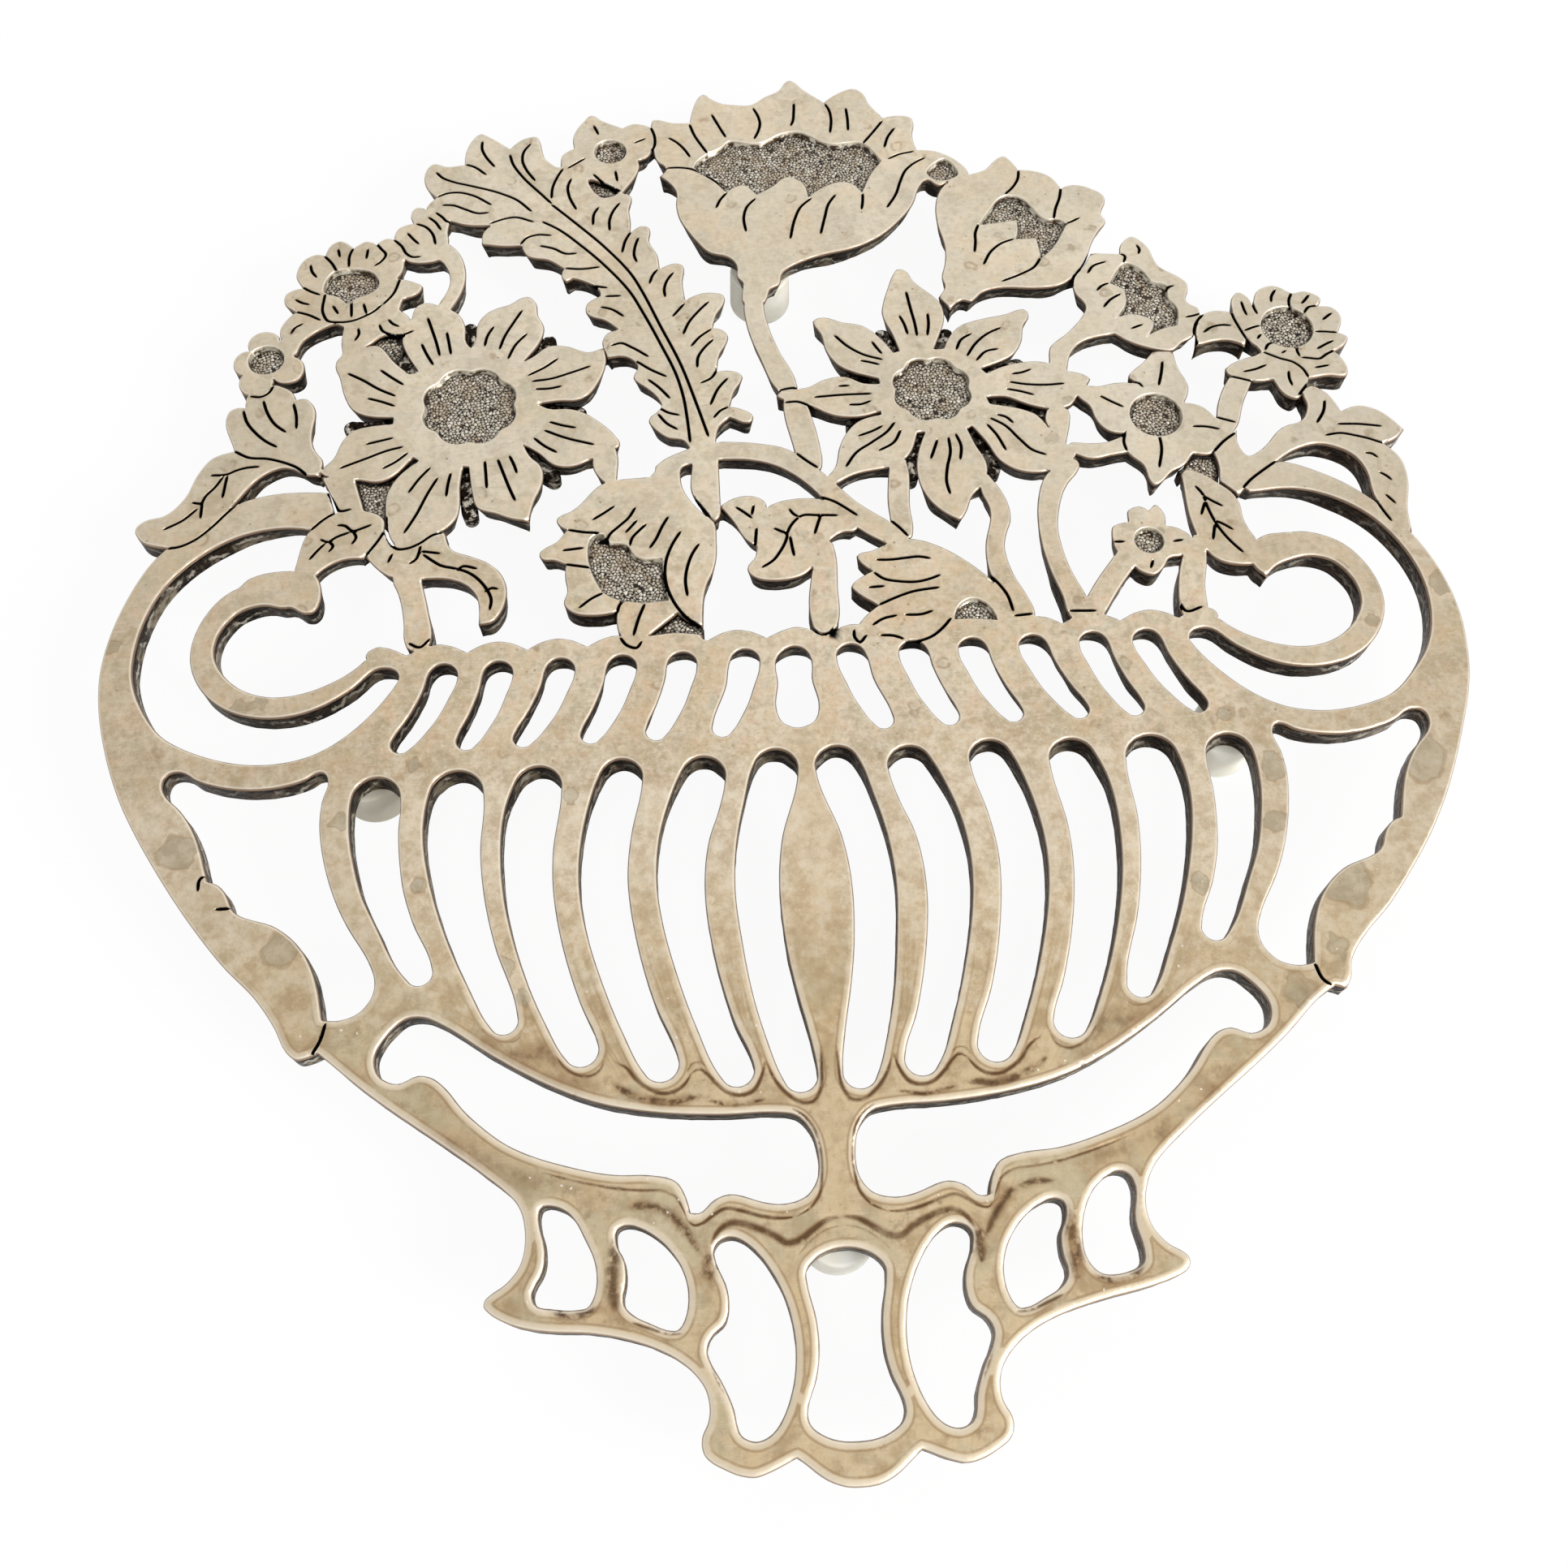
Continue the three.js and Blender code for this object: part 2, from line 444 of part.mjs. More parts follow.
const rightDaisyShares = [
  [38.1, 29.3, 1], [38.2, 30.6], [38.9, 31.4], [39.6, 30.9], [39.95, 30.1, 1], [40.6, 31.5], [42, 31.95],
  [43.5, 31.1, 1], [44.6, 31.2], [45.7, 30.4], [45.3, 29.6, 1], [46.5, 29.35], [47, 28.3],
  [46.4, 26.75, 1], [47.1, 26.2], [46.5, 25.3], [45.7, 24.85, 1], [46.3, 23.6], [46.2, 22.35],
  [44.6, 22.4], [43, 22.15, 1], [42.6, 21.2], [41.6, 20.2], [40.6, 20.8], [40.1, 22.2, 1], [38.4, 22.1],
  [36.6, 22.85], [36.4, 23.5], [38, 24.4], [39.6, 25.1], [38.9, 26.2], [38.4, 27.6],
];
const squareFlowerShares = [
  [30.8, 25.6, 1], [29.8, 24.5], [28.4, 23.1], [29, 22.5, 1], [27.2, 22.55], [25.6, 22.3], [24.4, 22.5],
  [23.9, 21.7], [24.8, 20.4], [25.2, 18.8], [26, 17.8], [27.2, 17.5, 1], [27.1, 15.8], [28.2, 14.4],
  [28.65, 12.5], [29.2, 12.6], [30.4, 13.7], [31.4, 14.2], [32.3, 15.3, 1], [33.6, 15.15], [34.9, 16.3],
  [36, 17.1, 1], [36.1, 18.1, 1], [34.8, 18.6], [33.7, 19.9], [32.5, 20.3, 1], [33.1, 21.8],
  [32.6, 23.7], [32.45, 25.5, 1],
];
const tinyFlowerShares = [
  [26.2, 9.2, 1], [26.3, 10.2], [27.2, 10.55], [27.95, 10.2, 1], [28.5, 10.65], [29.1, 9.7],
  [29, 8.7, 1], [29.9, 8.4], [30.8, 7.5], [30.2, 6.1], [28.8, 5.75, 1], [28.1, 4.8], [27.3, 4.3],
  [26.1, 5], [25.9, 6.1, 1], [24.9, 6.5], [24.7, 7.5, 1], [24.9, 8.8],
];
const topSmallFlowerShares = [
  [-17.2, 48.4, 1], [-17.1, 49.7], [-16.05, 50.6, 1], [-16.1, 52], [-15.3, 53.4], [-14.6, 54.5],
  [-13.6, 53.8], [-11.8, 52.8, 1], [-10.7, 53.25], [-9.3, 52.8, 1], [-9, 51.6], [-9.5, 49.4],
  [-10.5, 48.8, 1], [-10.4, 48], [-11.2, 46.4], [-11.9, 45.1, 1], [-13.8, 45.2], [-16, 46.4],
];
const leftDaisyShares = [
  [-38.5, 36, 1], [-39.1, 37.2], [-38.6, 38.9], [-37.6, 39.5], [-36.85, 39.4, 1], [-36.4, 40.5],
  [-35.6, 40.9], [-34.5, 40.1, 1], [-33.5, 40.75], [-32.65, 40.45, 1], [-31.9, 40.95], [-30.9, 40.9, 1],
  [-30.2, 38.8], [-30.3, 37.3, 1], [-30.7, 36.6, 1], [-29.6, 36.2], [-28.6, 35.55], [-29.2, 34.7],
  [-30.2, 34.3, 1], [-30.4, 33.2, 1], [-29.5, 32.2], [-29.1, 30.9, 1], [-30.3, 30.4], [-31.4, 30.6],
  [-32.2, 30], [-33.1, 29.4], [-34.9, 28.65, 1], [-35, 30], [-34.9, 31.6, 1], [-35.6, 31.9],
  [-36.9, 31.3], [-38, 30.3], [-38.5, 29, 1], [-39.1, 28.8, 1], [-39.8, 30.3], [-40, 31.7],
  [-38.9, 33.45, 1], [-39.8, 34.2], [-39.8, 35.3],
];
const leftBlossomRings = [
  [-41.15, 30.1, 1.35], [-42.15, 28.25, 1.35], [-41.5, 26.3, 1.4], [-39.15, 27.45, 1.4], [-40.6, 28.6, 2],
];

const longLeafShares = [
  [-7.2, 17.9, 1], [-7.6, 18.65], [-9, 19.1], [-10.35, 20.8], [-9.65, 21.7, 1], [-9.3, 22.3],
  [-10.4, 24], [-11.45, 25.1], [-11.1, 26.3], [-12, 27.3], [-13.5, 27.3, 1], [-13.9, 28.8], [-13.6, 29.7],
  [-12.6, 30.2, 1], [-13.7, 31.2], [-15.1, 31.9], [-15.1, 33], [-14, 33.8, 1], [-14.1, 34.4],
  [-15.2, 35.2], [-16.2, 35.8], [-16.8, 35.5], [-17.2, 36.1], [-17, 36.9, 1], [-18.3, 37.9],
  [-20, 38.4], [-20.55, 39.6, 1], [-22, 39.6], [-23.85, 39.95, 1], [-23.8, 41.1], [-23.2, 42, 1],
  [-25, 42.1], [-26.4, 42.6], [-27.9, 43.6], [-28.6, 44.2], [-27.8, 45.4, 1], [-28.7, 46.6],
  [-28.85, 48.3], [-28.2, 49.3], [-27, 48.95], [-25.5, 49.1, 1], [-25.4, 50.6], [-24.8, 52.1],
  [-24.1, 52.7], [-23.3, 52.1], [-21.6, 50.8, 1], [-20.6, 51.8], [-19.3, 52.1], [-18.9, 51.2],
  [-18.5, 49.4], [-17.4, 48.4, 1], [-15.8, 48.3], [-15, 46.6], [-13.9, 45], [-12.2, 45.2],
  [-11.2, 44.7], [-11.4, 43.2], [-11.3, 41.8], [-11.35, 40.7, 1], [-10.2, 41.3], [-9.7, 40.9],
  [-9.8, 39.6], [-9.15, 38], [-9, 36.5, 1], [-7.8, 37], [-7.05, 36.7], [-7.15, 35], [-7, 33, 1],
  [-5.6, 33.65], [-3.9, 33.4], [-3.75, 32.7], [-4.5, 31.3], [-4.85, 30, 1], [-3.9, 29.5],
  [-3.65, 28.8], [-4.4, 27.2], [-4.75, 25.5, 1], [-3.3, 25.35], [-2.7, 24.8], [-3.4, 23.4],
  [-3.85, 21.9, 1], [-2.8, 21.5], [-2.05, 20.8], [-2.4, 20.2], [-3.9, 20.8, 1], [-4.8, 19.9],
  [-5.2, 17.9, 1],
];
const upperBudShares = [
  [-26.5, 42.7, 1], [-28.7, 44.2], [-29.5, 44.3], [-29.9, 43.4], [-29.65, 42.6, 1], [-30.8, 42.1],
  [-31.2, 41.1], [-30.9, 39.8], [-30, 38.4], [-28.6, 38.1], [-27, 38.6], [-26.6, 40.3, 1],
  [-26.7, 41.4],
];
const handleLeafLeftShares = [
  [-47.2, 10.9, 1], [-48.8, 11.4], [-49.55, 12.6], [-48.9, 13.4], [-47.3, 13.9], [-46, 15.5],
  [-45.3, 17.5], [-44.3, 19], [-42.7, 19.6, 1], [-43.15, 21.6], [-43.5, 23.3], [-42.9, 23.8],
  [-42.2, 23.8, 1], [-42, 25.2], [-40.2, 26], [-38.6, 25.2, 1], [-38.2, 24.4, 1], [-37.4, 24.4],
  [-36.6, 23.2], [-36.7, 21.4], [-36.6, 19.8], [-35.7, 18.1, 1], [-35.9, 16.9, 1], [-37, 17],
  [-38.6, 17.75], [-40.3, 17.1], [-41.8, 15.3], [-43.2, 13.2], [-44.8, 11.5], [-46.2, 10.8],
];
const leftStalkShares = [
  [-35.8, 16.8, 1], [-33.2, 16.5, 1], [-32.3, 13.4, 1], [-34.3, 13.3, 1], [-35, 15.1],
];
const leftLeafShares = [
  [-36.4, 11.8], [-35.6, 12.7], [-34.2, 13.5], [-32.2, 13.45], [-30.8, 12.6], [-30.7, 11.4, 1],
  [-31.6, 9.9], [-32.2, 9.1, 1], [-33.8, 9], [-35.2, 8.2], [-36.6, 6.5, 1], [-37.3, 7.6], [-37, 9.5],
];
const curledLeafShares = [
  [-30.7, 11.6, 1], [-31.4, 10.3], [-32, 9.2, 1], [-31, 8], [-30, 7.3], [-27.6, 7], [-25.6, 6.85],
  [-24.2, 6.1], [-23.5, 4.9], [-23.4, 2.8, 1], [-22.4, 3], [-21.5, 4.4], [-21.4, 6.1], [-22.2, 7.7],
  [-24, 8.8], [-25.6, 9.6], [-26.1, 11.2, 1], [-28.4, 10.3], [-30, 10.2],
];

const droopingSunflowerShares = [
  [-10.4, 15.4, 1], [-12.2, 15.35], [-13.9, 15.05], [-15.2, 13.8], [-16.4, 12.6], [-17.6, 11.9],
  [-17.5, 11.3], [-16.9, 10.8, 1], [-17.6, 9.8], [-18.9, 8.9], [-18.8, 8.3], [-17.8, 8.1],
  [-17, 7.7, 1], [-17, 6.4], [-16.85, 5.3], [-17.1, 4.2], [-16.4, 3.4], [-14.8, 3.1], [-13.2, 3.3, 1],
  [-13.15, 1.8], [-12.4, 0.4], [-11.7, 0.2], [-11.2, 0.2, 1], [-9, 0.3], [-6.9, 0.2, 1], [-6.8, 2.7],
  [-6.5, 5], [-5.7, 7], [-5.5, 9], [-5.6, 10.9, 1], [-6.4, 11.7], [-7.6, 13.5], [-8, 14.8],
  [-7.8, 16.2, 1], [-7, 16.9], [-8.2, 17.3], [-9.8, 16.4, 1],
];
const sepalShares = [
  [-7.1, 16.8, 1], [-7.1, 14.5], [-7.15, 13.5], [-6.5, 12.4], [-5.6, 11, 1], [-5.15, 11.4],
  [-5.05, 14], [-5, 17.2, 1],
];
const drawnLeafShares = [
  [-1.8, 11.8], [-0.6, 12.5], [1.2, 12.75], [3, 12.5], [4.6, 11.3], [5.4, 10.2], [5.2, 9.6],
  [4, 9.4], [3, 8.6], [2.1, 7], [0.9, 5.8], [-0.9, 5.4], [-2.7, 5.7], [-3.3, 6.5], [-2.6, 7.7],
  [-2.4, 9.6], [-2.2, 11],
];
const budLeafShares = [
  [-5.1, 12.4, 1], [-4.1, 13], [-2.7, 13.2], [-1.7, 12.7], [-1.5, 12], [-1.9, 10.6], [-2.5, 8.5, 1],
  [-3.3, 9.2], [-4, 10.6], [-4.7, 11.8],
];
const droopingTulipShares = [
  [9.4, 8.55], [11.2, 7.9], [12.8, 6.8], [14.4, 5.3], [15.4, 4.1], [16.2, 2.4], [16.4, 0.3, 1],
  [15.2, 0.2], [12, 0.2], [10, -0.1], [8.6, -0.4], [7, 0.1], [4.6, 0.1, 1], [4.4, 0.8], [5.2, 1.9],
  [6.3, 2.8, 1], [5.4, 3.6], [4.4, 4.5], [5, 5.2], [6.1, 5.85, 1], [5.3, 6.6], [5.05, 7.3],
  [6.2, 7.65], [7.6, 8.35],
];
const veinedLeafShares = [
  [31, 13.4, 1], [31.6, 13.8], [33, 12.9], [34.5, 11.7], [35.1, 10.4], [35.15, 8.8], [35.7, 7.2],
  [36.6, 5.7, 1], [35.7, 4.95], [34.2, 4.85], [32.6, 5.3], [31.6, 6.5], [31.1, 8.2], [31, 11],
];
const linkLeafShares = [
  [35.3, 29.2, 1], [36.6, 29.55], [38.3, 29.3, 1], [38.9, 27, 1], [38.5, 25.8, 1], [37.2, 26.4],
  [35.9, 26.35], [34.5, 26, 1], [34.7, 27.6],
];
const branchShares = [
  [36.2, 17.4, 1], [36.05, 16], [36.6, 14.85], [38, 15.6], [39.8, 17.4], [41.6, 18.1], [42.3, 19.6],
  [42.2, 20.8], [43, 21.4], [44.2, 20.5], [44.9, 18.8, 1], [46.4, 19.25], [47.9, 18.7], [49, 17.5],
  [49.55, 16.7, 1], [48.7, 15.9], [47.6, 15.45, 1], [48.6, 14], [48.75, 12], [48.1, 9.4], [47.9, 7.1, 1],
  [47, 7.4], [46.1, 9], [45.65, 11], [45.6, 13], [44.8, 14.6], [42.4, 15.7], [40.2, 15.1],
  [38.6, 14.1], [36.6, 12.6], [35.2, 11.2, 1], [33.9, 12.6, 1], [34.1, 14], [33.9, 15.6, 1],
];
const petalSepalShares = [
  [21.1, 18.9, 1], [21.7, 17.5], [22.4, 16.7, 1], [22.8, 18], [23.1, 20], [22.2, 20.5], [21.4, 20.2],
];

// Stems, as stations of strokes.
const stemShares = [
  [[-1.3, 34.6, 0.85], [-1.4, 32.6, 0.85], [-1.2, 30, 0.88], [-0.6, 27.6, 0.88], [0.1, 25.5, 0.88],
    [0.8, 23.6, 0.85]],
  [[1.3, 22.4, 0.9], [1.7, 20, 1], [2, 17.6, 1.03], [2.1, 16, 1]],
  [[-9.4, 16.1, 0.6], [-8.3, 16.7, 0.6], [-6.7, 17.35, 0.8], [-5, 17.6, 0.85], [-2.6, 17.4, 0.82],
    [-0.2, 16.75, 0.92], [1.8, 15.2, 0.85], [3.2, 13.6, 0.85], [4.6, 11.8, 0.9], [6.3, 10.2, 0.98],
    [8.1, 8.9, 0.95]],
  [[2.8, 8.2, 0.6], [2.5, 6.2, 0.92], [2.4, 4, 0.98], [2.2, 1.6, 1]],
  [[9, 15.6, 0.7], [8.8, 13.4, 0.82], [8.68, 11.4, 0.85], [8.75, 9.2, 0.8]],
  [[15.6, 13.8, 0.5], [15.85, 12.6, 0.66], [16.25, 11.3, 0.66], [16.4, 10.3, 0.82], [15.95, 8.8, 0.74],
    [15.65, 7.4, 0.74], [15.7, 6, 0.84], [16.05, 4.4, 0.86], [16.75, 2.8, 0.82], [17.05, 1.4, 0.9]],
  [[22.4, 14.7, 0.8], [21, 13.1, 0.92], [20.25, 11, 0.85], [19.95, 9, 0.76], [20.05, 7, 0.77],
    [20.4, 5, 0.78], [21, 3, 0.85], [21.4, 1.4, 1]],
  [[22.3, 1.5, 0.9], [23.3, 3, 0.92], [24.4, 4.5, 0.88], [25.6, 6, 0.9]],
  [[31.3, 7.2, 0.6], [30.7, 5.6, 0.95], [30.25, 4, 0.98], [29.95, 2.4, 1.05], [29.9, 1, 1.05]],
  [[23, 16.4, 0.5], [24.2, 16, 0.75], [25.8, 16.15, 0.65], [27.6, 16.6, 0.9]],
  [[35.5, 18, 0.85], [36, 19.6, 0.95], [36.8, 21.3, 0.95], [37.8, 22.9, 0.85]],
  [[-28.9, 7.4, 1.05], [-28.4, 5.6, 0.93], [-28, 3.6, 0.97], [-27.8, 1.7, 1]],
  [[-13.85, 17.9, 0.95], [-13.85, 16.5, 0.92], [-13.5, 15.4, 0.6]],
  [[-27.8, 40, 1], [-26.4, 38.6, 0.85], [-25.75, 36.6, 0.68], [-25.95, 35, 0.62], [-26.8, 33.2, 0.6]],
];

// Sunk flower middles and sunk webs between petals.
const tulipPocketShares = [
  [-5.7, 47.8], [-4.6, 49.2], [-3.2, 50], [-2.5, 50.7], [-1.2, 50.45], [0.3, 50.4], [1.9, 51.3],
  [3.6, 51.55], [4.9, 50.8], [6.2, 50], [9.1, 49.95], [10.1, 48.7], [10.6, 47.7, 1], [9.6, 46.3],
  [8.6, 44.1, 1], [7.8, 45.2], [6.6, 45.4], [5, 44.7], [3.95, 43.8, 1], [3.6, 45.4], [2.3, 46.25],
  [1.1, 45.3], [-0.45, 44.3, 1], [-1.6, 45.5], [-3, 44.8, 1], [-3.9, 46.3],
];
const rosePocketShares = [
  [20.85, 43.1, 1], [22, 42.95], [23.3, 41.4], [24.1, 40.25], [25, 40.3], [25.75, 39.7, 1],
  [24.8, 38.2], [23.9, 36.7], [23.05, 35.9, 1], [22.9, 38.2, 1], [21.15, 38.15, 1], [21.5, 39.5],
  [21.5, 40.3, 1], [19.8, 40.1], [18.2, 39.85, 1], [19.2, 41.4],
];
const smallSunflowerPocketShares = [
  [30, 35.05], [31.1, 34.5], [31.65, 33.6], [31.9, 32.9, 1], [33.2, 32.4], [33, 31.2], [33.6, 30],
  [33.3, 28.2, 1], [31.8, 27.8], [30.5, 27.1, 1], [31.35, 28.6], [30, 29.5], [28.3, 29.2, 1],
  [29.4, 30.7], [29.5, 32.2, 1], [28.4, 32.95, 1], [29.2, 34.3],
];
const leftDaisyPocketShares = [
  [-35.9, 37.6], [-34.2, 37.7], [-32.9, 37.4], [-32.2, 36], [-33, 35], [-34, 34.6], [-34.7, 34.05],
  [-35.5, 34.8], [-36.7, 35.4], [-36.6, 36.6],
];
const droopingPocketShares = [
  [-15, 10], [-14.1, 10.3], [-13.6, 9.45, 1], [-12.3, 9.2, 1], [-11.6, 8.1], [-10.7, 7.85],
  [-9.65, 7.95, 1], [-9.6, 6], [-9.3, 4.1, 1], [-11.1, 4, 1], [-12.5, 4.5], [-14.1, 5, 1],
  [-14.9, 6.5], [-15.3, 8.4],
];
const webPocketShares = [
  [[-10.9, 1.15, 1], [-9.9, 2], [-8.7, 3, 1], [-7.7, 2.1], [-6.3, 1.5, 1], [-6.3, 0.95, 1], [-8.8, 1.3]],
  [[11.8, 1.25, 1], [12.2, 2.3], [13.2, 3], [14.2, 2.7], [14.9, 1.7], [15.1, 1, 1], [13.3, 1.25]],
  [[-14.8, 46.8], [-14.3, 45.4], [-13.6, 44.7], [-12.3, 45.2], [-13.3, 46.1]],
  [[14.4, 46.2], [15.2, 47.2], [16.1, 47.7], [16.9, 46.7], [17.1, 45.8], [16, 45.2], [15, 45.3]],
];
const discRings = [[42.3, 27.5, 2.15], [30, 19.2, 2.1], [27.5, 7.4, 1.15], [-12.9, 50, 1.4], [-40.9, 28.5, 1.45]];
const lobedDiscShares = [[-24.5, 23, 3.5, 8, 0.35], [12.4, 22.75, 2.95, 8, 0.3]];
const webShares = [
  [[-33.6, 16.9, 1], [-30.2, 17, 1], [-30.2, 12.6, 1], [-32.8, 12.9, 1]],
  [[31, 14.4, 1], [34.4, 16, 1], [34.3, 12.4, 1], [31.2, 13.2, 1]],
  [[-33.2, 29.1, 1], [-32.2, 30.6, 1], [-30.2, 30.8, 1], [-29.8, 29.6, 1], [-30.8, 28, 1]],
];

// Middles of the four feet, under the tulip, the rim's ends and the urn's stem.
const footMiddleShares = {
  foot_top: [-0.6, 37.6], foot_left: [-31.5, -7.7], foot_right: [31.2, -7.7], foot_bottom: [-0.1, -41.7],
};

const plateBottom = footHeight + contactGap;
const plateTop = plateBottom + plateThickness;

const plateOutlines = [
  leftFlowerShares, rightFlowerShares, topTulipShares, roseShares, smallSunflowerShares,
  rightDaisyShares, squareFlowerShares, tinyFlowerShares, topSmallFlowerShares, leftDaisyShares,
  longLeafShares, upperBudShares, handleLeafLeftShares, leftStalkShares, leftLeafShares,
  curledLeafShares, droopingSunflowerShares, sepalShares, drawnLeafShares, budLeafShares,
  droopingTulipShares, veinedLeafShares, linkLeafShares, branchShares, petalSepalShares,
  scrollTipShares, mirrored(scrollTipLeftShares),
];

const wholeSlab = (ring) => slab(ring, plateBottom, plateThickness);
const webSlab = (ring) => slab(ring, plateBottom, plateThickness - pocketDepth);
const pocketSlab = (ring) => slab(ring, plateTop - pocketDepth, plateThickness);
const openingSlab = (ring) => slab(ring, 0, plateTop + plateThickness);

const joined = (solids) => solids.reduce((whole, solid) => whole.add(solid));

const footPeg = ([u, v]) => {
  const radius = pegDiameter / 2;
  const reach = pegLength + plateThickness / 2;
  return turned([[0, 0], [radius, 0], [radius, reach], [0, reach]], u, v, plateBottom - pegLength);
};

const buildPlate = () => {
  const urn = wholeSlab(urnOutline()).subtract(joined(urnOpenings().map(openingSlab)));
  const motifs = joined([
    ...plateOutlines.map((points) => wholeSlab(outline(points))),
    ...leftBlossomRings.map((ring) => wholeSlab(roundOutline(ring))),
    ...stemShares.map((stations) => wholeSlab(stroke(stations))),
    wholeSlab(stroke(scrollShares)), wholeSlab(stroke(mirrored(scrollShares))),
  ]);
  const pockets = joined([
    ...[tulipPocketShares, rosePocketShares, smallSunflowerPocketShares, leftDaisyPocketShares,
      droopingPocketShares, ...webPocketShares].map((points) => pocketSlab(outline(points))),
    ...discRings.map((ring) => pocketSlab(roundOutline(ring))),
    ...lobedDiscShares.map((disc) => pocketSlab(lobedOutline(disc))),
  ]);
  const webs = joined(webShares.map((points) => webSlab(outline(points))));
  const pegs = joined(Object.values(footMiddleShares).map(footPeg));
  return urn.add(motifs).subtract(pockets).add(webs).add(pegs).asOriginal().simplify(weldSize);
};

// A soft cap: rounded lower edge, blind bore for its peg.
const buildFoot = ([u, v]) => {
  const radius = footDiameter / 2;
  const bore = pegDiameter / 2 + contactGap;
  const boreFloor = plateBottom - pegLength - contactGap;
  const profile = [[0, 0]];
  for (let i = 0; i <= footEdgeSteps; i++) {
    const turn = (Math.PI / 2) * (i / footEdgeSteps);
    profile.push([
      radius - footEdgeRadius + footEdgeRadius * Math.sin(turn),
      footEdgeRadius - footEdgeRadius * Math.cos(turn)]);
  }
  profile.push([radius, footHeight], [bore, footHeight], [bore, boreFloor], [0, boreFloor]);
  return turned(profile, u, v, 0);
};

const trivet = new THREE.Group();
trivet.name = "trivet";
trivet.add(meshOf(buildPlate(), "pierced_plate", silverColour, silverRoughness, silverMetalness));
Object.entries(footMiddleShares).forEach(([name, middle]) => {
  trivet.add(meshOf(buildFoot(middle), name, capColour, capRoughness, 0));
});

// The origin is the middle of the whole trivet, on the surface that it stands on.
const middleOf = new THREE.Box3().setFromObject(trivet).getCenter(new THREE.Vector3());
trivet.children.forEach((mesh) => mesh.geometry.translate(-middleOf.x, -middleOf.y, 0));

export default trivet;
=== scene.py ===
import math

import bpy
import numpy as np
from mathutils import Euler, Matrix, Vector
from mathutils.geometry import delaunay_2d_cdt


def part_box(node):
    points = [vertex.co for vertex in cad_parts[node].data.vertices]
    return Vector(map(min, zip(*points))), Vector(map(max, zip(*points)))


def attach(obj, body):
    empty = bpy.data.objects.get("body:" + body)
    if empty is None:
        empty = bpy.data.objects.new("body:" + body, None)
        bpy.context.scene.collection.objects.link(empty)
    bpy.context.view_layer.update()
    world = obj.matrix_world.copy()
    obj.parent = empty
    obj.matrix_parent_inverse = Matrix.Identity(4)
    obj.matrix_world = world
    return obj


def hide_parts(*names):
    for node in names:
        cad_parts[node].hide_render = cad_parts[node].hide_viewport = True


# A flat pierced trivet of tarnished silver, an urn of flowers, on four soft push-on caps. The CAD
# plate gives every outline and height; the pieces here round its edges, engrave its lines, stipple
# its sunk floors and give the metal and the caps their finish. Lengths are metres.

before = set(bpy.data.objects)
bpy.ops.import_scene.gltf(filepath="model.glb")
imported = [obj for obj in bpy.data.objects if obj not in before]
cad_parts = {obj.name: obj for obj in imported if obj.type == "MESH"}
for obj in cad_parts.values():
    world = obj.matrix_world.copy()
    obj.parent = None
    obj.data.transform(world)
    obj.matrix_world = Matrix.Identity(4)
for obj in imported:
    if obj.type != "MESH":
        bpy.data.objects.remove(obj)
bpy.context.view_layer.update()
mm = 0.001

# The engraved lines are drawn in hundredths of the plate's width, u across from the urn's axis and
# v up from the foot of the rim's scallops.
drawing = {
    "unit": 2.03 * mm,
    "axisU": -0.4449,
    "middleV": 0.55,
}
plate = {
    "top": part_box("pierced_plate")[1].z,
    "under": 8.3 * mm,
    "floor": 11.4 * mm,
    "sameHeight": 0.02 * mm,
    "weld": 0.001 * mm,
    "sliverLength": 2.0 * mm,
}


def toMetres(points):
    # x = (u - axisU) unit, y = (v - middleV) unit
    return (np.asarray(points, float) - (drawing["axisU"], drawing["middleV"])) * drawing["unit"]


def cross2(a, b):
    # ax by - ay bx
    return a[..., 0] * b[..., 1] - a[..., 1] * b[..., 0]


def unitRows(rows):
    # each row divided by its length
    return rows / np.maximum(np.linalg.norm(rows, axis=-1, keepdims=True), 1e-12)


def toDrawing(points):
    # u = x / unit + axisU, v = y / unit + middleV
    x, y = points[:, 0], points[:, 1]
    return x / drawing["unit"] + drawing["axisU"], y / drawing["unit"] + drawing["middleV"]


def leftOf(rows):
    # each row (x, y) turned a quarter to the left, (-y, x)
    return np.stack([-rows[:, 1], rows[:, 0]], axis=1)


def smoothStep(low, high, x):
    # s = clamp((x - low) / (high - low)), s s (3 - 2 s)
    s = np.clip((x - low) / (high - low), 0, 1)
    return s * s * (3 - 2 * s)


def ripple(points, wavelength, seed, waves=7):
    # sum over k of sin(2 pi (x cos a_k + y sin a_k) / L_k + p_k) / sqrt(waves), about -1.5 to 1.5
    rng = np.random.default_rng(seed)
    angle = rng.uniform(0, np.pi, waves)
    length = wavelength * rng.uniform(0.75, 1.35, waves)
    phase = rng.uniform(0, 2 * np.pi, waves)
    across = points[:, :1] * np.cos(angle) + points[:, 1:2] * np.sin(angle)
    return np.sin(2 * np.pi * across / length + phase).sum(axis=1) / np.sqrt(waves)


def slopeThrough(before, ahead, lengthBefore, lengthAhead):
    # the slope of a parabola where two sides meet, (before dAhead + ahead dBefore) / (dBefore + dAhead)
    weighed = before * lengthAhead[:, None] + ahead * lengthBefore[:, None]
    return weighed / (lengthBefore + lengthAhead)[:, None]


